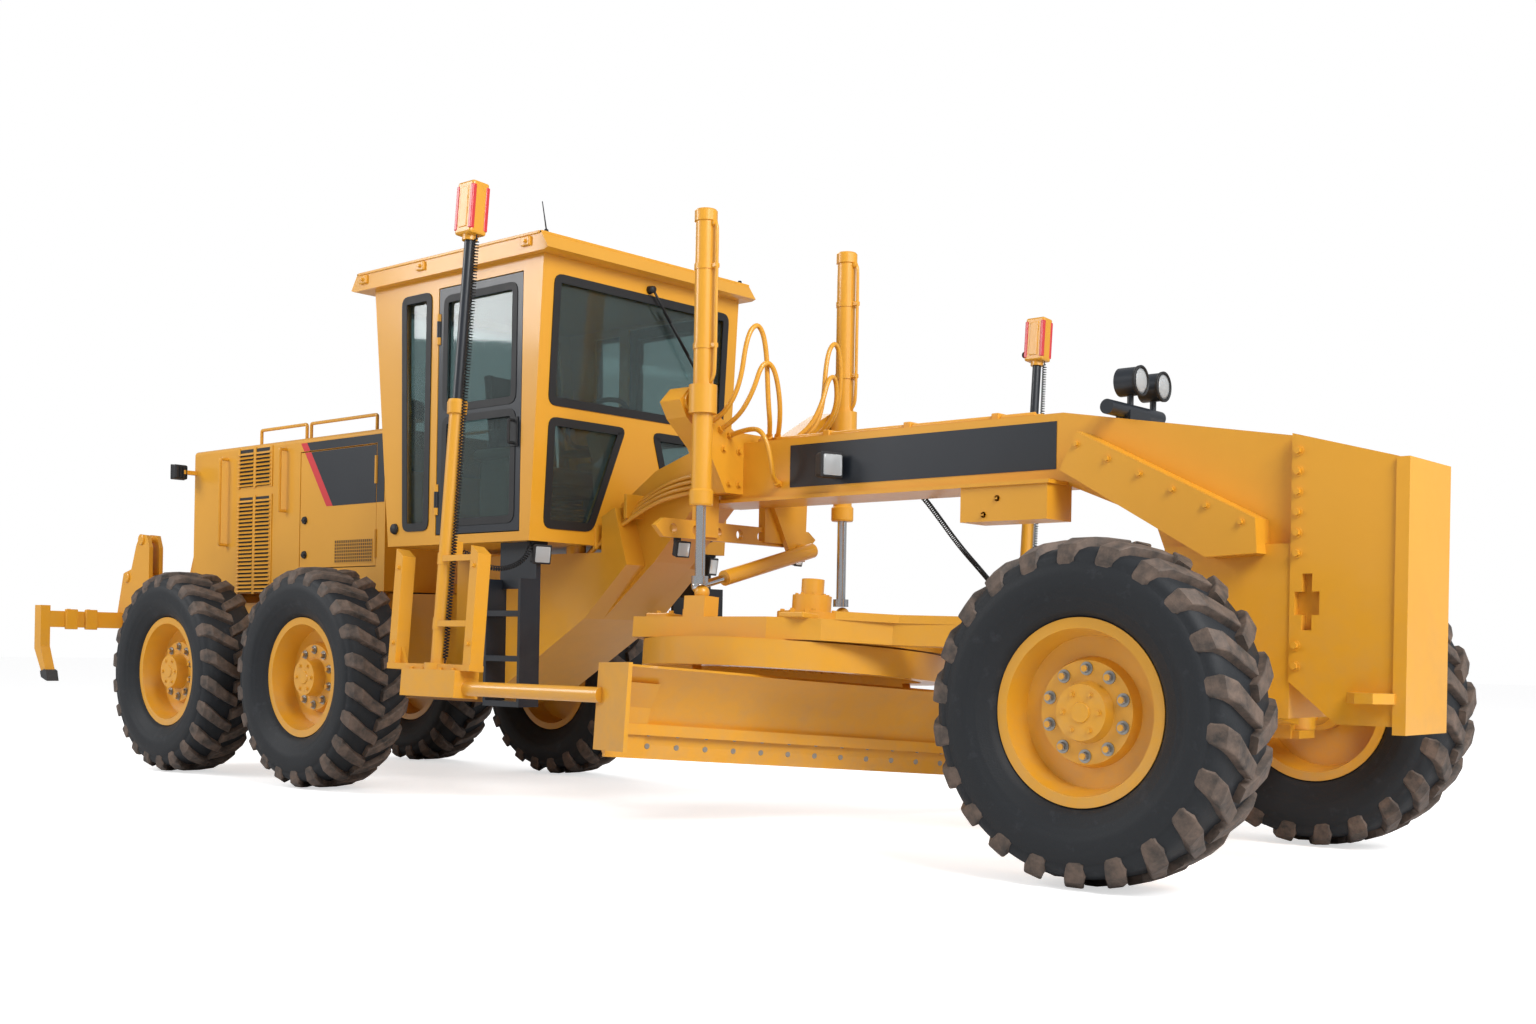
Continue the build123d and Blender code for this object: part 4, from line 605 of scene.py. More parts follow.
def makeWheelNuts(name, x, y):
    side = 1 if y > 0 else -1
    seat = hub["frontSeat"] if "front" in name else hub["rearSeat"]
    bm = bmesh.new()
    for ahead, z in ringSpots((x, tyre["radius"]), hub["studCircle"], hub["studs"], hub["studPhase"]):
        spot = Vector((ahead, y + side * seat, z))
        washer = spot + Vector((0, side * hub["washerThick"], 0))
        addRod(bm, spot, washer, hub["washer"], 20)
        addRod(bm, washer, spot + Vector((0, side * hub["nutEnd"], 0)), hub["nut"], 6)
    newPiece(f"wheelNuts_{name}", bm, f"wheel_{name}", "zincPlatedSteel")
    bm = bmesh.new()
    for ahead, z in ringSpots((x, tyre["radius"]), hub["capCircle"], hub["capBolts"]):
        addBolt(bm, (ahead, y + side * hub["capFace"], z), (0, side, 0), hub["capBolt"])
    addRod(bm, (x, y + side * (hub["capFace"] - 0.002), tyre["radius"]),
           (x, y + side * (hub["capFace"] + 0.006), tyre["radius"]), 0.04, 32, 0.036)
    newPiece(f"hubCapBolts_{name}", bm, f"wheel_{name}")


for name, (x, y) in wheels.items():
    makeWheelNuts(name, x, y)

# Black panels on the beam and the hood; the red band runs up the hood panel's rear edge
beamPanel = {"x": (-2.27, -0.73), "z": (1.66, 1.87), "y": (0.149, 0.1525)}
doorFace = 0.498
hoodFace = 0.5
hoodPanel = {"top": 2.052, "low": 1.7, "front": -5.299, "slantTop": -6.08, "slantLow": -5.83,
             "band": 0.07, "thick": 0.003, "sunk": 0.001, "gap": 0.01, "edgeHigh": 0.063,
             "edgeFront": -5.212, "edgeRear": -5.289}


def makeBeamPanels():
    bm = bmesh.new()
    for way in (1, -1):
        addBox(bm, *[(beamPanel["x"][k], way * beamPanel["y"][k], beamPanel["z"][k]) for k in (0, 1)])
    newPiece("beamPanels", bm, "front_frame", "satinBlackEnamel")


def makeHoodPanel(side, way):
    # the black panel and red band on the engine door, and their strips on the hood above and ahead of it
    p = hoodPanel
    push = (0, way * p["thick"], 0)
    lean = (p["slantLow"] - p["slantTop"]) / (p["top"] - p["low"])
    low, top, high, gapTop = p["low"], p["top"], p["top"] + p["edgeHigh"], p["top"] + p["gap"]

    def slant(z):
        return p["slantTop"] + lean * (top - z)

    door, hood = f"side_door_{side}", "rear_frame"
    shapes = {
        "hoodPanel": (doorFace, door, "satinBlackEnamel",
                      [(slant(top) + p["band"], top), (p["front"], top), (p["front"], low),
                       (slant(low) + p["band"], low)]),
        "hoodBand": (doorFace, door, "signalRedEnamel",
                     [(slant(top), top), (slant(top) + p["band"], top), (slant(low) + p["band"], low),
                      (slant(low), low)]),
        "hoodEdgePanel": (hoodFace, hood, "satinBlackEnamel",
                          [(slant(high) + p["band"], high), (p["edgeFront"], high), (p["edgeFront"], low),
                           (p["edgeRear"], low), (p["edgeRear"], gapTop),
                           (slant(gapTop) + p["band"], gapTop)]),
        "hoodEdgeBand": (hoodFace, hood, "signalRedEnamel",
                         [(slant(high), high), (slant(high) + p["band"], high),
                          (slant(gapTop) + p["band"], gapTop), (slant(gapTop), gapTop)]),
    }
    for name, (face, body, look, corners) in shapes.items():
        bm = bmesh.new()
        addPlate(bm, [(x, way * (face - p["sunk"]), z) for x, z in corners], push)
        newPiece(f"{name}_{side}", bm, body, look)


# Pressed louvres at the rear of the hood, and the perforated grille low on each engine door; a black sheet of
# painted shade lies behind the openings of each
louvres = {"x": (-6.87, -6.47), "z": ((1.165, 1.8), (1.87, 2.12)), "pitch": 0.026, "out": 0.014,
           "bar": 0.03}
grille = {"x": (-5.73, -5.33), "z": (1.34, 1.48), "hole": 0.02, "bar": 0.003}


def makeLouvres(side, way):
    back, slats = bmesh.new(), bmesh.new()
    rear, front = louvres["x"]
    middle, half = (rear + front) / 2, louvres["bar"] / 2
    face, tip = way * (hoodFace - 0.001), way * (hoodFace + louvres["out"])
    for low, high in louvres["z"]:
        # a black sheet under the slats: painted shade, the dark inside of the hood seen through the gaps
        addBox(back, (rear, way * (hoodFace - 0.002), low), (front, way * (hoodFace + 0.001), high))
        for x0, x1 in ((rear, middle - half), (middle + half, front)):
            for k in range(int((high - low) / louvres["pitch"])):
                z = low + louvres["pitch"] * k + 0.003
                addPlate(slats, [(x0, face, z + 0.018), (x0, tip, z), (x0, tip - way * 0.003, z),
                                 (x0, face, z + 0.012)], (x1 - x0, 0, 0))
        for x in (rear, middle, front):
            addBox(slats, (x - half, face, low - 0.01), (x + half, way * (hoodFace + 0.006), high + 0.01))
    newPiece(f"louvreShadeSheet_{side}", back, "rear_frame", "texturedBlackPlastic")
    newPiece(f"louvreSlats_{side}", slats, "rear_frame")


def makeGrille(side, way):
    back, bars = bmesh.new(), bmesh.new()
    (x0, x1), (z0, z1), half = grille["x"], grille["z"], grille["bar"]
    inner, outer = way * doorFace, way * (doorFace + 0.003)
    # a black sheet behind the bars: painted shade, the dark engine bay seen through the holes
    addBox(back, (x0, way * (doorFace - 0.001), z0), (x1, way * (doorFace + 0.001), z1))
    for k in range(int((x1 - x0) / grille["hole"]) + 1):
        x = x0 + grille["hole"] * k
        addBox(bars, (x - half, inner, z0), (x + half, outer, z1))
    for k in range(int((z1 - z0) / grille["hole"]) + 1):
        z = z0 + grille["hole"] * k
        addBox(bars, (x0, inner, z - half), (x1, outer, z + half))
    newPiece(f"grilleShadeSheet_{side}", back, f"side_door_{side}", "texturedBlackPlastic")
    newPiece(f"grilleBars_{side}", bars, f"side_door_{side}")


def loopRoute(start, end, out):
    start, end, out = Vector(start), Vector(end), Vector(out)
    inward = (end - start).normalized() * 0.03
    return [start, start + out * 0.7, start + out, start + out + inward, (start + end) / 2 + out,
            end + out - inward, end + out, end + out * 0.7, end]


def makeHoodRails(side, way):
    face, top = way * (hoodFace - 0.004), 2.146
    routes = [loopRoute((-7.02, face, 1.49), (-7.02, face, 2.07), (0, way * 0.06, 0)),
              loopRoute((-6.3, face, 1.69), (-6.3, face, 2.09), (0, way * 0.05, 0)),
              loopRoute((-6.68, way * 0.45, top), (-6.14, way * 0.45, top), (0, 0, 0.1)),
              loopRoute((-6.09, way * 0.45, top), (-5.37, way * 0.45, top), (0, 0, 0.1))]
    bentTubes(f"hoodRails_{side}", "rear_frame", routes, 0.011)


def makeDoorLatches(side, way):
    bm = bmesh.new()
    for x, z in ((-6.07, 1.62), (-6.07, 1.4)):
        addRod(bm, (x, way * (doorFace - 0.001), z), (x, way * (doorFace + 0.012), z), 0.026, 24, 0.022)
        addBox(bm, (x - 0.018, way * (doorFace + 0.01), z - 0.006),
               (x + 0.018, way * (doorFace + 0.018), z + 0.006), 0.002)
    newPiece(f"engineDoorLatches_{side}", bm, f"side_door_{side}", "texturedBlackPlastic")


def makeHoodTop():
    # the pre-cleaner's dark cap, the bolts along the hood and its rear cover
    bm = bmesh.new()
    place = Matrix.Translation((-5.42, -0.2, 0))
    addLathe(bm, [(0.1055, 2.243), (0.11, 2.246), (0.111, 2.33), (0.098, 2.358), (0.06, 2.368),
                  (0, 2.37)], place, 40)
    addLathe(bm, [(0.1055, 2.243), (0.1055, 2.351), (0, 2.351)], place, 40)
    newPiece("airCleanerCap", bm, "rear_frame", "texturedBlackPlastic", True)
    bm = bmesh.new()
    for x in (-6.55, -6.25, -5.95, -5.65):
        for way in (1, -1):
            addBolt(bm, (x, way * 0.4, 2.15), (0, 0, 1), 0.02)
    addBox(bm, (-7.36, -0.36, 2.148), (-6.8, 0.36, 2.165), 0.006)
    addBox(bm, (-7.33, -0.33, 2.164), (-6.83, 0.33, 2.172), 0.003)
    newPiece("hoodTopCover", bm, "rear_frame")


# shares of a lamp's width
lampShape = {"deep": 0.55, "corner": 0.12, "fins": 4, "fin": 0.025, "finSpan": 0.4, "finDeep": 0.65,
             "bezel": 0.52, "pane": 0.42, "lip": 0.05}


def makeLamp(name, body, centre, out, size, lens="clearLampLens"):
    # a square work lamp: black housing with fins and bezel, and its lens
    turn = facing(centre, out)
    shape = {key: share * size for key, share in lampShape.items()}
    half, tall, bezel, pane = size / 2, shape["finSpan"], shape["bezel"], shape["pane"]
    bm = bmesh.new()
    addBox(bm, (-half, -half, -shape["deep"]), (half, half, 0), shape["corner"])
    for k in range(lampShape["fins"]):
        x = half * (0.467 * k - 0.7)
        addBox(bm, (x - shape["fin"], -tall, -shape["finDeep"]), (x + shape["fin"], tall, -half))
    addBox(bm, (-bezel, -bezel, -size * 0.08), (bezel, bezel, size * 0.03), shape["lip"])
    newPiece(f"{name}_housing", bm, body, "texturedBlackPlastic", turn=turn)
    bm = bmesh.new()
    addBox(bm, (-pane, -pane, size * 0.02), (pane, pane, size * 0.055), shape["lip"])
    newPiece(f"{name}_lens", bm, body, lens, True, turn)


def makeLampArms():
    bm = bmesh.new()
    for way in (1, -1):
        addBox(bm, (-2.015, way * 0.146, 1.7), (-1.985, way * 0.2, 1.73), 0.004)
        addBox(bm, (-3.64, way * 0.6, 1.385), (-3.58, way * 0.7, 1.402), 0.004)
        addBox(bm, (-2.77, way * 0.43, 1.38), (-2.75, way * 0.47, 1.42), 0.004)
        addBox(bm, (-3.64, way * 0.63, 1.34), (-3.61, way * 0.67, 1.402), 0.004)
    newPiece("workLampArms", bm, "front_frame", "texturedBlackPlastic")
    bm = bmesh.new()
    for way in (1, -1):
        addBox(bm, (-7.452, way * 0.49, 1.985), (-7.42, way * 0.6, 2.015), 0.004)
    newPiece("rearLampArms", bm, "rear_frame")


# name, centre, way it looks and size of the left one of each pair; the right one mirrors it
workLamps = [("beamLamp", (-1.93, 0.235, 1.745), (1, 0.35, 0), 0.12),
             ("cabLamp", (-3.56, 0.655, 1.33), (1, 0.25, -0.15), 0.1),
             ("linkLamp", (-2.715, 0.45, 1.345), (1, 0.2, -0.2), 0.08)]
headLamps = {"y": (-0.03, 0.17), "z": 2.03, "rim": -0.397, "lens": -0.396}


def makeLamps():
    for side, way in sides.items():
        for name, (x, y, z), (ahead, across, rise), size in workLamps:
            makeLamp(f"{name}_{side}", "front_frame", (x, way * y, z), (ahead, way * across, rise), size)
        makeLamp(f"rearLamp_{side}", "rear_frame", (-7.48, way * 0.615, 2.0), (-1, 0, 0), 0.1,
                 "redLampLens")
    bm = bmesh.new()
    for y in headLamps["y"]:
        addLathe(bm, [(0.056, 0.0), (0.066, 0.0), (0.067, 0.01), (0.058, 0.014), (0.056, 0.006),
                      (0.056, 0.0)], facing((headLamps["rim"], y, headLamps["z"]), (1, 0, 0)))
    newPiece("headLampBezels", bm, "front_frame", "texturedBlackPlastic", True)
    bm = bmesh.new()
    for y in headLamps["y"]:
        addLathe(bm, [(0, 0.0), (0.0565, 0.0), (0.0565, 0.004), (0.04, 0.011), (0, 0.015)],
                 facing((headLamps["lens"], y, headLamps["z"]), (1, 0, 0)))
    newPiece("headLampLenses", bm, "front_frame", "clearLampLens", True)


makeBeamPanels()
makeHoodTop()
for side, way in sides.items():
    makeHoodPanel(side, way)
    makeLouvres(side, way)
    makeGrille(side, way)
    makeHoodRails(side, way)
    makeDoorLatches(side, way)
makeLampArms()
makeLamps()
print("panels, louvres, rails and lamps made")

# Cab: rubber seals round the panes, roof fittings, wiper, aerial and door handles
cab = {"side": 0.75, "front": (-3.56, -3.48), "rear": (-4.81, -4.98), "floor": 1.4, "top": 2.9,
       "seal": 0.045, "lap": 0.02, "out": 0.007, "round": 0.055}


def wallX(wall, z):
    # the front and rear walls lean outwards from the floor to the roof
    low, high = cab[wall]
    return low + (high - low) * (z - cab["floor"]) / (cab["top"] - cab["floor"])


def grown(corners, lap):
    # an outline pushed outwards from its middle
    middle = sum((Vector(c) for c in corners), Vector((0, 0))) / len(corners)
    return [(u + (lap if u > middle.x else -lap), v + (lap if v > middle.y else -lap)) for u, v in corners]


def makeCabSeals():
    bm = bmesh.new()

    def seal(corners, spot, push):
        addFrame(bm, [spot(u, v) for u, v in grown(corners, cab["lap"])], cab["seal"], push, cab["round"])

    out = cab["out"]
    seal([(-0.65, 2.14), (0.65, 2.14), (0.65, 2.79), (-0.65, 2.79)],
         lambda y, z: (wallX("front", z) - 0.001, y, z), (out, 0, 0))
    for way in (1, -1):
        seal([(way * 0.64, 1.49), (way * 0.64, 2.04), (way * 0.12, 2.04), (way * 0.33, 1.49)],
             lambda y, z: (wallX("front", z) - 0.001, y, z), (out, 0, 0))
        seal([(-4.45, 1.5), (-4.45, 2.8), (-4.69, 2.8), (-4.65, 1.5)],
             lambda x, z: (x, way * (cab["side"] - 0.001), z), (0, way * out, 0))
    seal([(-0.62, 1.85), (0.62, 1.85), (0.62, 2.8), (-0.62, 2.8)],
         lambda y, z: (wallX("rear", z) + 0.001, y, z), (-out, 0, 0))
    newPiece("windowSeals", bm, "front_frame", "texturedBlackPlastic")


cabDoor = {"x": (-4.364, -3.646), "z": (1.456, 2.824)}


def makeDoorSeals(side, way):
    # rounded rubber round a door's two panes, its handle plate and its handle
    edge = 0.06
    (x0, x1), (low, high) = [(ends[0] + edge, ends[1] - edge) for ends in (cabDoor["x"], cabDoor["z"])]
    split = sum(cabDoor["z"]) / 2 - 0.02
    bm = bmesh.new()
    for z0, z1 in ((low, split - 0.03), (split + 0.03, high)):
        pane = grown([(x0, z0), (x1, z0), (x1, z1), (x0, z1)], 0.018)
        addFrame(bm, [(x, way * 0.747, z) for x, z in pane], 0.04, (0, way * 0.005, 0), 0.06)
    newPiece(f"doorSeals_{side}", bm, f"door_{side}", "texturedBlackPlastic")
    bm = bmesh.new()
    addBox(bm, (-3.725, way * 0.7475, 1.9), (-3.665, way * 0.756, 2.06), 0.004)
    newPiece(f"doorHandlePlate_{side}", bm, f"door_{side}", "texturedBlackPlastic")
    bentTubes(f"doorHandle_{side}", f"door_{side}",
              [loopRoute((-3.695, way * 0.755, 1.92), (-3.695, way * 0.755, 2.04), (0, way * 0.035, 0))],
              0.008, "texturedBlackPlastic")


def makeRoofFittings():
    bm = bmesh.new()
    for way in (1, -1):
        for x in (-5.02, -4.47, -4.05, -3.56):
            addBox(bm, (x - 0.035, way * 0.765, 2.935), (x + 0.035, way * 0.815, 2.985), 0.006)
            addBolt(bm, (x, way * 0.815, 2.96), (0, way, 0), 0.02)
        addBox(bm, (-5.08, way * 0.79, 2.988), (-3.46, way * 0.806, 3.004), 0.004)
    addBox(bm, (-3.462, -0.8, 2.988), (-3.442, 0.8, 3.004), 0.004)
    addBox(bm, (-5.098, -0.8, 2.988), (-5.078, 0.8, 3.004), 0.004)
    newPiece("roofFittings", bm, "front_frame")
    bm = bmesh.new()
    for way in (1, -1):
        addRod(bm, (-4.745, way * 0.749, 1.5), (-4.745, way * 0.765, 1.5), 0.032, 28, 0.028)
        addRod(bm, (-3.47, way * 0.745, 2.998), (-3.47, way * 0.745, 3.02), 0.016, 20, 0.01)
    addRod(bm, (-3.47, -0.745, 3.018), (-3.5, -0.75, 3.17), 0.004, 10, 0.0025)
    newPiece("cabBuffersAndAerial", bm, "front_frame", "texturedBlackPlastic", True)


def makeWiper():
    # parked across the windscreen's upper left, on its motor at the top edge
    pivot = Vector((wallX("front", 2.84) + 0.004, 0.02, 2.84))
    tip = Vector((wallX("front", 2.52) + 0.016, 0.33, 2.52))
    bm = bmesh.new()
    addRod(bm, pivot - Vector((0.01, 0, 0)), pivot + Vector((0.035, 0, 0)), 0.024, 24, 0.018)
    middle = (pivot + tip) / 2 + Vector((0.016, 0, 0))
    addRod(bm, pivot + Vector((0.026, 0, 0)), middle, 0.007, 12)
    addRod(bm, middle, tip + Vector((0.012, 0, 0)), 0.006, 12)
    across = Vector((0.004, 0.19, -0.22))
    addRod(bm, tip - across + Vector((0.004, 0, 0)), tip + across * 0.55 + Vector((0.004, 0, 0)), 0.008, 10)
    newPiece("windscreenWiper", bm, "front_frame", "texturedBlackPlastic", True)


makeCabSeals()
makeRoofFittings()
makeWiper()
for side, way in sides.items():
    makeDoorSeals(side, way)
print("cab outside made")


# Operator's place: a sprung seat in vinyl, a column with the steering wheel and two control pods
def addPad(bm, low, high, crown, seam, turn=None):
    # a crowned cushion whose sides pull in, with two sewn channels along it
    low, high = Vector(low), Vector(high)
    part = bmesh.new()
    bmesh.ops.create_cube(part, size=2)
    bmesh.ops.subdivide_edges(part, edges=part.edges[:], cuts=11, use_grid_fill=True)
    for vert in part.verts:
        u, v, w = vert.co
        bow = (1 - u ** 4) * (1 - v ** 4)
        corner = max(abs(u), abs(v)) ** 6
        groove = max(0, 1 - abs(abs(v) - 0.45) / 0.07) * seam
        rise = w * (1 - 0.35 * corner) + (crown * bow - groove if w > 0 else 0)
        pull = 1 - 0.06 * (1 - w * w) * (abs(u) < 0.9 or abs(v) < 0.9) - 0.05 * w ** 8
        vert.co = Vector((u * pull, v * pull, rise))
    bmesh.ops.scale(part, vec=(high - low) / 2, verts=part.verts)
    bmesh.ops.translate(part, vec=(high + low) / 2, verts=part.verts)
    pour(part, bm, turn)


seat = {"floor": 1.4503, "armY": 0.275, "podY": 0.39}
steering = {"centre": (-3.87, 0, 2.12), "lean": (-8, 0, 9), "ring": 0.19, "grip": 0.014, "gripSteps": 12,
            "spokes": 3}


def makeSeat():
    cushions = bmesh.new()
    addPad(cushions, (-4.56, -0.25, 1.76), (-4.06, 0.25, 1.87), 0.35, 0.16)
    lean = Matrix.Translation((-4.5, 0, 1.85)) @ Matrix.Rotation(radians(-98), 4, "Y")
    addPad(cushions, (0.01, -0.235, -0.055), (0.59, 0.235, 0.055), 0.3, 0.16, lean)
    for y in (-seat["armY"], seat["armY"]):
        addPad(cushions, (-4.48, y - 0.035, 1.985), (-4.12, y + 0.035, 2.03), 0.25, 0.0)
    cushions = newPiece("seatCushions", cushions, "front_frame", "vinylSeatCloth", True)
    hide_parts("operator_station")
    bm = bmesh.new()
    addBox(bm, (-4.52, -0.2, seat["floor"]), (-4.12, 0.2, 1.56), 0.015)
    for k in range(5):
        inset, rise = 0.006 * k, 0.032 * k  # the folds of the bellows
        addBox(bm, (-4.5 + inset, -0.18 + inset, 1.56 + rise),
               (-4.14 - inset, 0.18 - inset, 1.582 + rise), 0.008)
    addBox(bm, (-4.54, -0.23, 1.715), (-4.08, 0.23, 1.772), 0.015)
    for y in (-seat["armY"], seat["armY"]):
        addBox(bm, (-4.5, y - 0.02, 1.74), (-4.44, y + 0.02, 1.995), 0.008)
        addBox(bm, (-4.5, min(y, y * 0.75) - 0.01, 1.735), (-4.44, max(y, y * 0.75) + 0.01, 1.765), 0.006)
    newPiece("seatBase", bm, "front_frame", "texturedBlackPlastic")


def makeConsoles():
    bm = bmesh.new()
    column = [(-3.76, seat["floor"]), (-3.66, seat["floor"]), (-3.7, 1.95), (-3.8, 2.08),
              (-3.86, 2.04), (-3.8, 1.9)]
    addPlate(bm, [(x, -0.11, z) for x, z in column], (0, 0.22, 0))
    rounded(bm, [edge for edge in bm.edges if edge.calc_length() > 0.05], 0.012, 3)
    for y in (-seat["podY"], seat["podY"]):
        addBox(bm, (-4.36, y - 0.07, seat["floor"]), (-4.08, y + 0.07, 1.9), 0.03)
        addBox(bm, (-4.4, y - 0.08, 1.9), (-4.05, y + 0.08, 1.96), 0.02)
    newPiece("controlConsoles", bm, "front_frame", "creamConsolePlastic")


def makeWheelAndLevers():
    bm = bmesh.new()
    place = facing(steering["centre"], steering["lean"])
    steps = [2 * pi * k / steering["gripSteps"] for k in range(steering["gripSteps"] + 1)]
    addLathe(bm, [(steering["ring"] + steering["grip"] * cos(turn), steering["grip"] * sin(turn))
                  for turn in steps], place, 56)
    addLathe(bm, [(0, -0.02), (0.045, -0.02), (0.05, 0.0), (0.035, 0.018), (0, 0.022)], place, 32)
    for k in range(steering["spokes"]):
        out = Vector((cos(2 * pi * k / steering["spokes"]), sin(2 * pi * k / steering["spokes"]), 0))
        addRod(bm, place @ (out * 0.04), place @ (out * 0.185), 0.011, 12, 0.008)
    addRod(bm, (-3.79, 0, 2.03), (-3.868, 0, 2.118), 0.022, 24)
    for y in (-seat["podY"], seat["podY"]):
        for k in range(4):
            for offset in (-0.03, 0.03):
                foot = Vector((-4.32 + 0.075 * k, y + offset, 1.955))
                addRod(bm, foot, foot + Vector((0.02, 0, 0.13)), 0.006, 10)
                addRod(bm, foot + Vector((0.02, 0, 0.12)), foot + Vector((0.026, 0, 0.165)), 0.014, 14, 0.01)
    newPiece("wheelAndLevers", bm, "front_frame", "texturedBlackPlastic", True)


makeSeat()
makeConsoles()
makeWheelAndLevers()
print("operator's place made")

# Lift cylinders: gland, cap, clamp bands and the tube along the barrel
lift = {"x": -2.5, "y": 0.55, "end": 1.56, "top": 2.99, "bore": 0.0495, "clamps": (2.72, 2.33),
        "tube": 0.009}


def makeLiftDetails(side, way):
    x, y = lift["x"], way * lift["y"]
    end, top, bore = lift["end"], lift["top"], lift["bore"]
    place = Matrix.Translation((x, y, 0))
    bm = bmesh.new()
    addLathe(bm, [(0.0265, end - 0.012), (0.056, end - 0.012), (0.06, end - 0.004), (0.06, end + 0.06),
                  (0.052, end + 0.07), (bore, end + 0.07)], place, 40)
    addLathe(bm, [(bore, top - 0.05), (0.057, top - 0.046), (0.057, top + 0.004), (0.05, top + 0.012),
                  (0, top + 0.012)], place, 40)
    for z in lift["clamps"]:
        low, high = z - 0.014, z + 0.014
        addLathe(bm, [(bore, low), (0.054, low), (0.054, high), (bore, high)], place, 40)
        addBox(bm, (x + 0.045, y - 0.014, z - 0.012), (x + 0.086, y + 0.014, z + 0.012), 0.004)
    addRod(bm, (x + 0.04, y, top - 0.06), (x + 0.066, y, top - 0.06), 0.016, 20)
    newPiece(f"liftCylinderFittings_{side}", bm, f"lift_cylinder_{side}")
    tube = [(0.055, top - 0.06), (0.074, top - 0.062), (0.078, top - 0.11), (0.078, 2.5), (0.078, 2.23),
            (0.07, 2.17), (0.045, 2.15)]
    bentTubes(f"liftCylinderTube_{side}", f"lift_cylinder_{side}", [[(x + ahead, y, z) for ahead, z in tube]],
              lift["tube"])


# Painted hose loops and tubes: yoke to beam, beam to cab carrier
yokeLoops = [
    [(-2.6, 0.4, 1.98), (-2.5, 0.4, 2.01), (-2.4, 0.39, 2.15), (-2.38, 0.37, 2.4),
     (-2.37, 0.3, 2.48), (-2.37, 0.235, 2.38), (-2.37, 0.215, 2.1), (-2.4, 0.16, 1.97),
     (-2.47, 0.09, 1.925)],
    [(-2.6, 0.33, 1.95), (-2.48, 0.33, 1.99), (-2.37, 0.33, 2.12), (-2.345, 0.29, 2.28),
     (-2.335, 0.215, 2.27), (-2.335, 0.165, 2.12), (-2.38, 0.11, 1.98), (-2.45, 0.05, 1.925)],
    [(-2.6, 0.26, 1.93), (-2.44, 0.27, 1.96), (-2.33, 0.29, 1.93), (-2.3, 0.265, 1.8),
     (-2.32, 0.225, 1.7), (-2.34, 0.16, 1.68)],
]
# the four tubes from the beam to the cab's carrier: x, y, step in y to the next tube, z, step in z
carrierRoute = [(-2.88, 0.16, 0, 1.76, 0.03), (-3.05, 0.175, 0.012, 1.745, 0.03),
                (-3.26, 0.19, 0.02, 1.66, 0.03), (-3.48, 0.2, 0.022, 1.52, 0.025),
                (-3.62, 0.205, 0.022, 1.42, 0.022), (-3.72, 0.205, 0.02, 1.345, 0.02)]
carrierTubes = [[(x, y + outStep * k, z - downStep * k) for x, y, outStep, z, downStep in carrierRoute]
                for k in range(4)]


def makeHoses():
    bm = bmesh.new()
    for side, way in sides.items():
        loops, tubes = [[[Vector((x, way * y, z)) for x, y, z in route] for route in routes]
                        for routes in (yokeLoops, carrierTubes)]
        bentTubes(f"hoseLoops_{side}", "front_frame", loops + tubes, 0.0125)
        for route in loops:
            for start, following in (route[:2], route[:-3:-1]):
                along = (following - start).normalized()
                addRod(bm, start - along * 0.004, start + along * 0.03, 0.019, 6)
        for start, *_ in tubes:
            addRod(bm, start + Vector((0.03, -way * 0.012, 0)), start - Vector((0.03, 0, 0)), 0.018, 6)
        addBox(bm, (-2.9, way * 0.146, 1.64), (-2.84, way * 0.186, 1.785), 0.006)
        for x, y, z in ((-3.33, 0.18, 1.56), (-3.56, 0.19, 1.4)):
            addBox(bm, (x - 0.012, way * 0.146, z - 0.02), (x + 0.012, way * (y + 0.1), z + 0.11), 0.003)
    for x in (-2.52, -2.1, -1.6, -1.1):
        addBox(bm, (x - 0.02, -0.085, 1.903), (x + 0.02, 0.085, 1.944), 0.005)
    newPiece("hoseFittings", bm, "front_frame")


for side, way in sides.items():
    makeLiftDetails(side, way)
makeHoses()
print("cylinder fittings and hoses made")


# Masts: dark poles with a receiver each, red bands up the receiver's corners
pole = {"radius": 0.027, "low": 1.3, "top": 2.86, "halfX": 0.066, "halfY": 0.052, "height": 0.27,
        "band": 0.025}


def makeMastPole(side):
    x, y = mastFeet[side]
    body, radius, halfX, halfY = f"mast_pole_{side}", pole["radius"], pole["halfX"], pole["halfY"]
    top, high = pole["top"], pole["top"] + pole["height"]
    bm = bmesh.new()
    addLathe(bm, [(0, pole["low"]), (radius - 0.002, pole["low"]), (radius, pole["low"] + 0.003),
                  (radius, top), (0, top)], Matrix.Translation((x, y, 0)), 36)
    tube = newPiece(f"mastTube_{side}", bm, body, "satinBlackEnamel", turn=tiltTurn)
    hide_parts(f"mast_pole_{side}")
    bm = bmesh.new()
    addBox(bm, (x - halfX, y - halfY, top - 0.004), (x + halfX, y + halfY, high), 0.012)
    addBox(bm, (x - 0.03, y - halfY - 0.004, top + 0.03), (x + 0.03, y + halfY + 0.004, high - 0.03), 0.003)
    addRod(bm, (x, y, top - 0.03), (x, y, top), 0.04, 32)
    newPiece(f"receiver_{side}", bm, body, turn=tiltTurn)
    bm = bmesh.new()
    half = pole["band"] / 2
    for dx in (-1, 1):
        for dy in (-1, 1):
            cornerX, cornerY = x + dx * (halfX - 0.01), y + dy * (halfY - 0.01)
            addBox(bm, (cornerX - half, cornerY - half, top + 0.018),
                   (cornerX + half, cornerY + half, high - 0.022), 0.005)
    newPiece(f"receiverBands_{side}", bm, body, "signalRedEnamel", turn=tiltTurn)
    bm = bmesh.new()
    knob = top + 0.05
    addRod(bm, (x - halfX - 0.03, y, knob), (x - halfX + 0.004, y, knob), 0.01, 16)
    addLathe(bm, [(0, -0.01), (0.019, -0.01), (0.021, 0), (0.017, 0.008), (0, 0.01)],
             facing((x - halfX - 0.032, y, knob), (-1, 0, 0)), 20)
    newPiece(f"receiverKnob_{side}", bm, body, "texturedBlackPlastic", turn=tiltTurn)


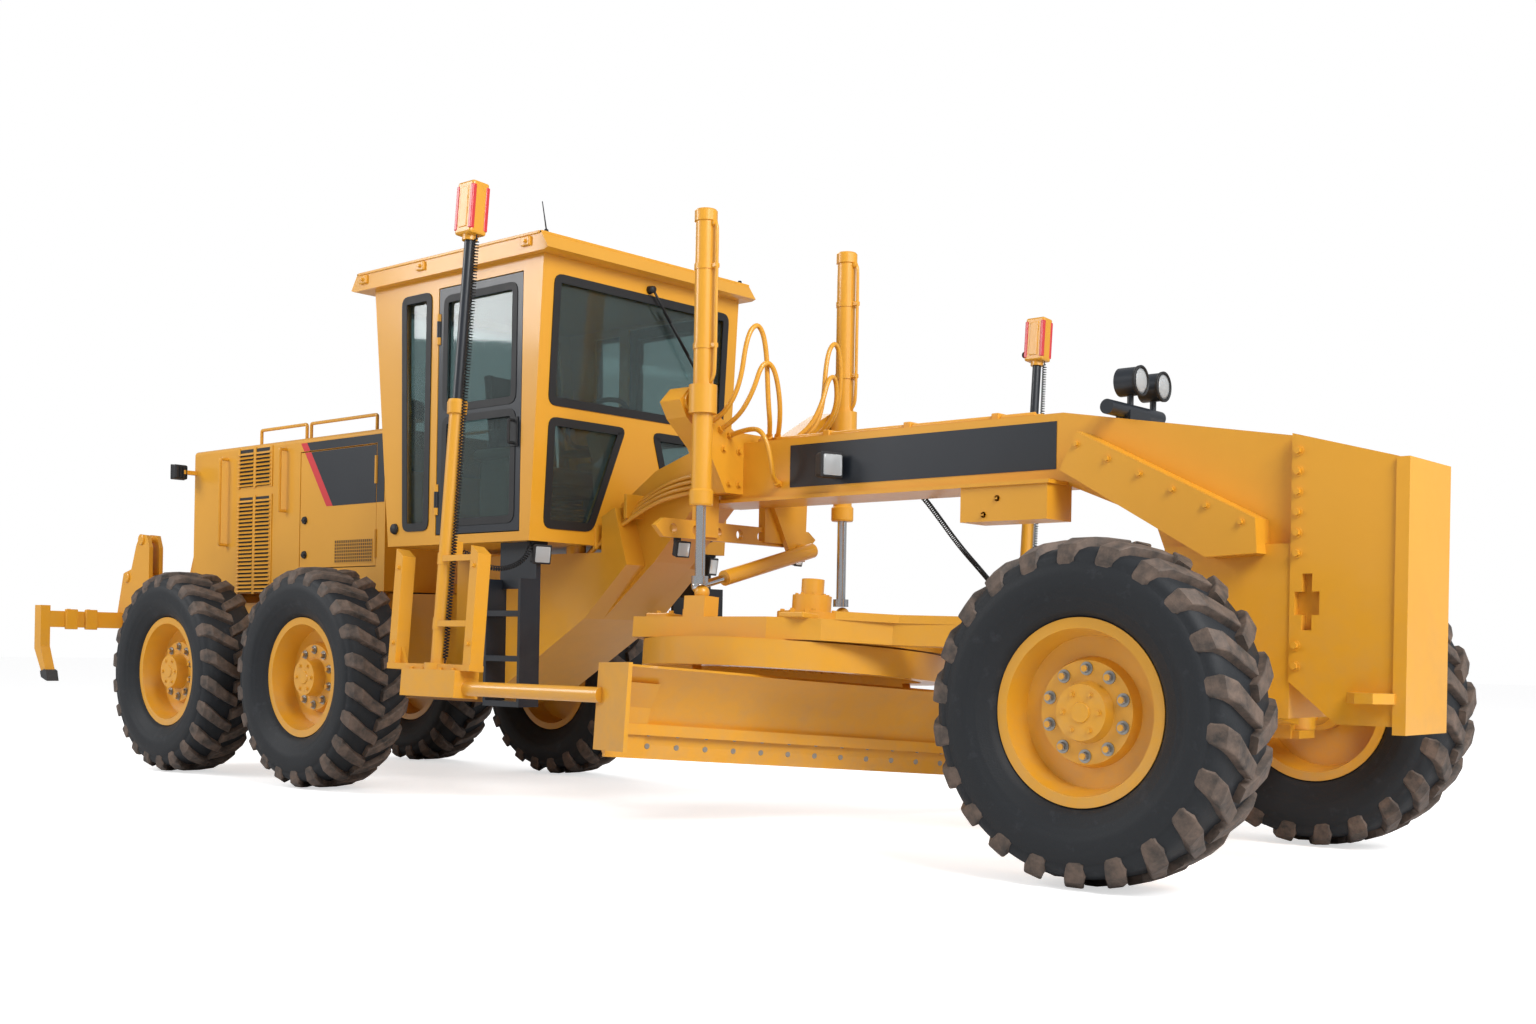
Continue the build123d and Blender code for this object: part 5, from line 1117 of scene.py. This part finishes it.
def makeMastFoot():
    # the bolts of each mast's foot and clamps, and the barrel's end collar
    bm = bmesh.new()
    for side, (x, y) in mastFeet.items():
        for dx in (-0.15, -0.05, 0.09, 0.19):
            for dy in (-0.055, 0.055):
                addBolt(bm, (x + dx, y + dy, 0.626), (0, 0, 1), 0.02)
        for start in (-0.37, 0.25):
            for z in (0.76, 1.15):
                for out in (1, -1):
                    addBolt(bm, (x + start + 0.03, y + out * 0.04, z), (0, out, 0), 0.02)
        addLathe(bm, [(0.0385, 1.93), (0.05, 1.934), (0.052, 1.99), (0.046, 2.006), (0.0275, 2.006)],
                 Matrix.Translation((x, y, 0)), 36)
    newPiece("mastFootBolts", bm, "moldboard", turn=tiltTurn)


for side in sides:
    makeMastPole(side)
makeMastFoot()
print("masts made")

# Blade group hardware: plow bolts along the cutting edge, circle and drawbar bolts
edge = {"near": -1.172, "far": 2.488, "pitch": 0.1524, "low": 0.275, "ahead": -0.307, "thick": 0.016,
        "bow": 0.4576, "bit": 0.19, "bitThick": 0.008, "rows": (0.045, 0.105)}
gearbox = (-2.0, -0.3)


def makeBladeHardware():
    bm = bmesh.new()
    count = int((edge["far"] - edge["near"] - 0.1) / edge["pitch"]) + 1
    for row in edge["rows"]:
        y = edge["ahead"] - edge["bow"] * (1 - (1 - (row / edge["bow"]) ** 2) ** 0.5) - edge["thick"]
        z = edge["low"] + row
        for k in range(count):
            u = edge["near"] + 0.06 + edge["pitch"] * k
            onBit = u < edge["near"] + edge["bit"] or u > edge["far"] - edge["bit"]
            out = edge["bitThick"] if onBit else 0
            addRod(bm, (u, y + 0.004 - out, z), (u, y - 0.003 - out, z), 0.017, 12, 0.012)
    newPiece("plowBolts", bm, "moldboard", "zincPlatedSteel", turn=bladeTurn)
    bm = bmesh.new()
    for centre, radius, count, phase, z, size in (((blade["circleX"], 0), 0.38, 16, 0.1, 0.96, 0.024),
                                                  (gearbox, 0.14, 8, 0, 1.005, 0.022),
                                                  (gearbox, 0.075, 8, 0, 1.09, 0.016)):
        for x, y in ringSpots(centre, radius, count, phase):
            addBolt(bm, (x, y, z), (0, 0, 1), size)
    for x, y in ((-2.8, 0.5), (-2.8, -0.5), (-1.9, 0.48), (-1.88, -0.53)):
        addBox(bm, (x - 0.075, y - 0.06, 0.959), (x + 0.075, y + 0.06, 0.985), 0.006)
        for dx in (-0.045, 0.045):
            addBolt(bm, (x + dx, y, 0.985), (0, 0, 1), 0.026)
    newPiece("drawbarBolts", bm, "drawbar", turn=tiltTurn)


# Bolted joints of the frames: push block, yoke, tandem cases, hitch and ripper
def makeFrameBolts():
    bm = bmesh.new()
    for way in (1, -1):
        for z in (0.82, 0.9, 1.26, 1.34, 1.42, 1.5, 1.58, 1.66):
            addBolt(bm, (0.392, way * 0.2, z), (0, way, 0), 0.028)
        for y, z in ((0.185, 1.69), (0.26, 1.69), (0.185, 1.86), (0.3, 1.86)):
            addBolt(bm, (-2.59, way * y, z), (1, 0, 0), 0.028)
        for k in range(6):
            addBolt(bm, (-0.56 + 0.15 * k, way * 0.27, 1.745 - 0.072 * k), (0, way, 0), 0.022)
        for y in (0.1, 0.03):
            addBolt(bm, (-0.905 - y, -0.3, 1.56 - y), (0, -1, 0), 0.018)
    newPiece("frameBolts", bm, "front_frame")
    bm = bmesh.new()
    for way in (1, -1):
        for x in (-5.175, -6.725):
            for across, z in ringSpots((x, tyre["radius"]), 0.135, 10):
                addBolt(bm, (across, way * 0.7, z), (0, way, 0), 0.024)
        addBox(bm, (-6.3, way * 0.699, 0.52), (-5.6, way * 0.712, 0.76), 0.006)
        for x in (-6.26, -6.1, -5.95, -5.8, -5.64):
            for z in (0.55, 0.73):
                addBolt(bm, (x, way * 0.712, z), (0, way, 0), 0.022)
    for k in range(6):
        y = -0.44 + 0.176 * k
        addBolt(bm, (-7.56, y, 1.265), (-1, 0, 0), 0.026)
    newPiece("rearFrameBolts", bm, "rear_frame")


ripper = {"x": -8.8, "z": 0.98, "shoeY": -0.928, "shoeWide": 0.086, "pinY": 0.295}


def makeRipperDetails():
    x, z = ripper["x"], ripper["z"]
    bm = bmesh.new()
    shoe = [(0.02, -0.37), (0.052, -0.38), (0.075, -0.455), (0.04, -0.448), (-0.028, -0.428),
            (-0.045, -0.385)]
    addPlate(bm, [(x + ahead, ripper["shoeY"], z + rise) for ahead, rise in shoe], (0, ripper["shoeWide"], 0))
    newPiece("ripperShoe", bm, "ripper_beam", "castIronPaint")
    bm = bmesh.new()
    for y in (-0.7, -0.55, 0.55, 0.7):
        addBox(bm, (x - 0.062, y - 0.045, z - 0.075), (x - 0.03, y + 0.045, z + 0.075), 0.006)
        addBolt(bm, (x - 0.09, y, z + 0.06), (0, 0, 1), 0.03)
    for way in (1, -1):
        for ahead, rise in ((0, 0), (0, 0.33), (0.215, 0.61)):
            addLathe(bm, [(0, 0.0), (0.04, 0.0), (0.04, 0.01), (0.034, 0.014), (0, 0.014)],
                     facing((x + ahead, way * ripper["pinY"], z + rise), (0, way, 0)), 28)
    newPiece("ripperPins", bm, "ripper_beam")


makeBladeHardware()
makeFrameBolts()
makeRipperDetails()
print("bolts and pins made")
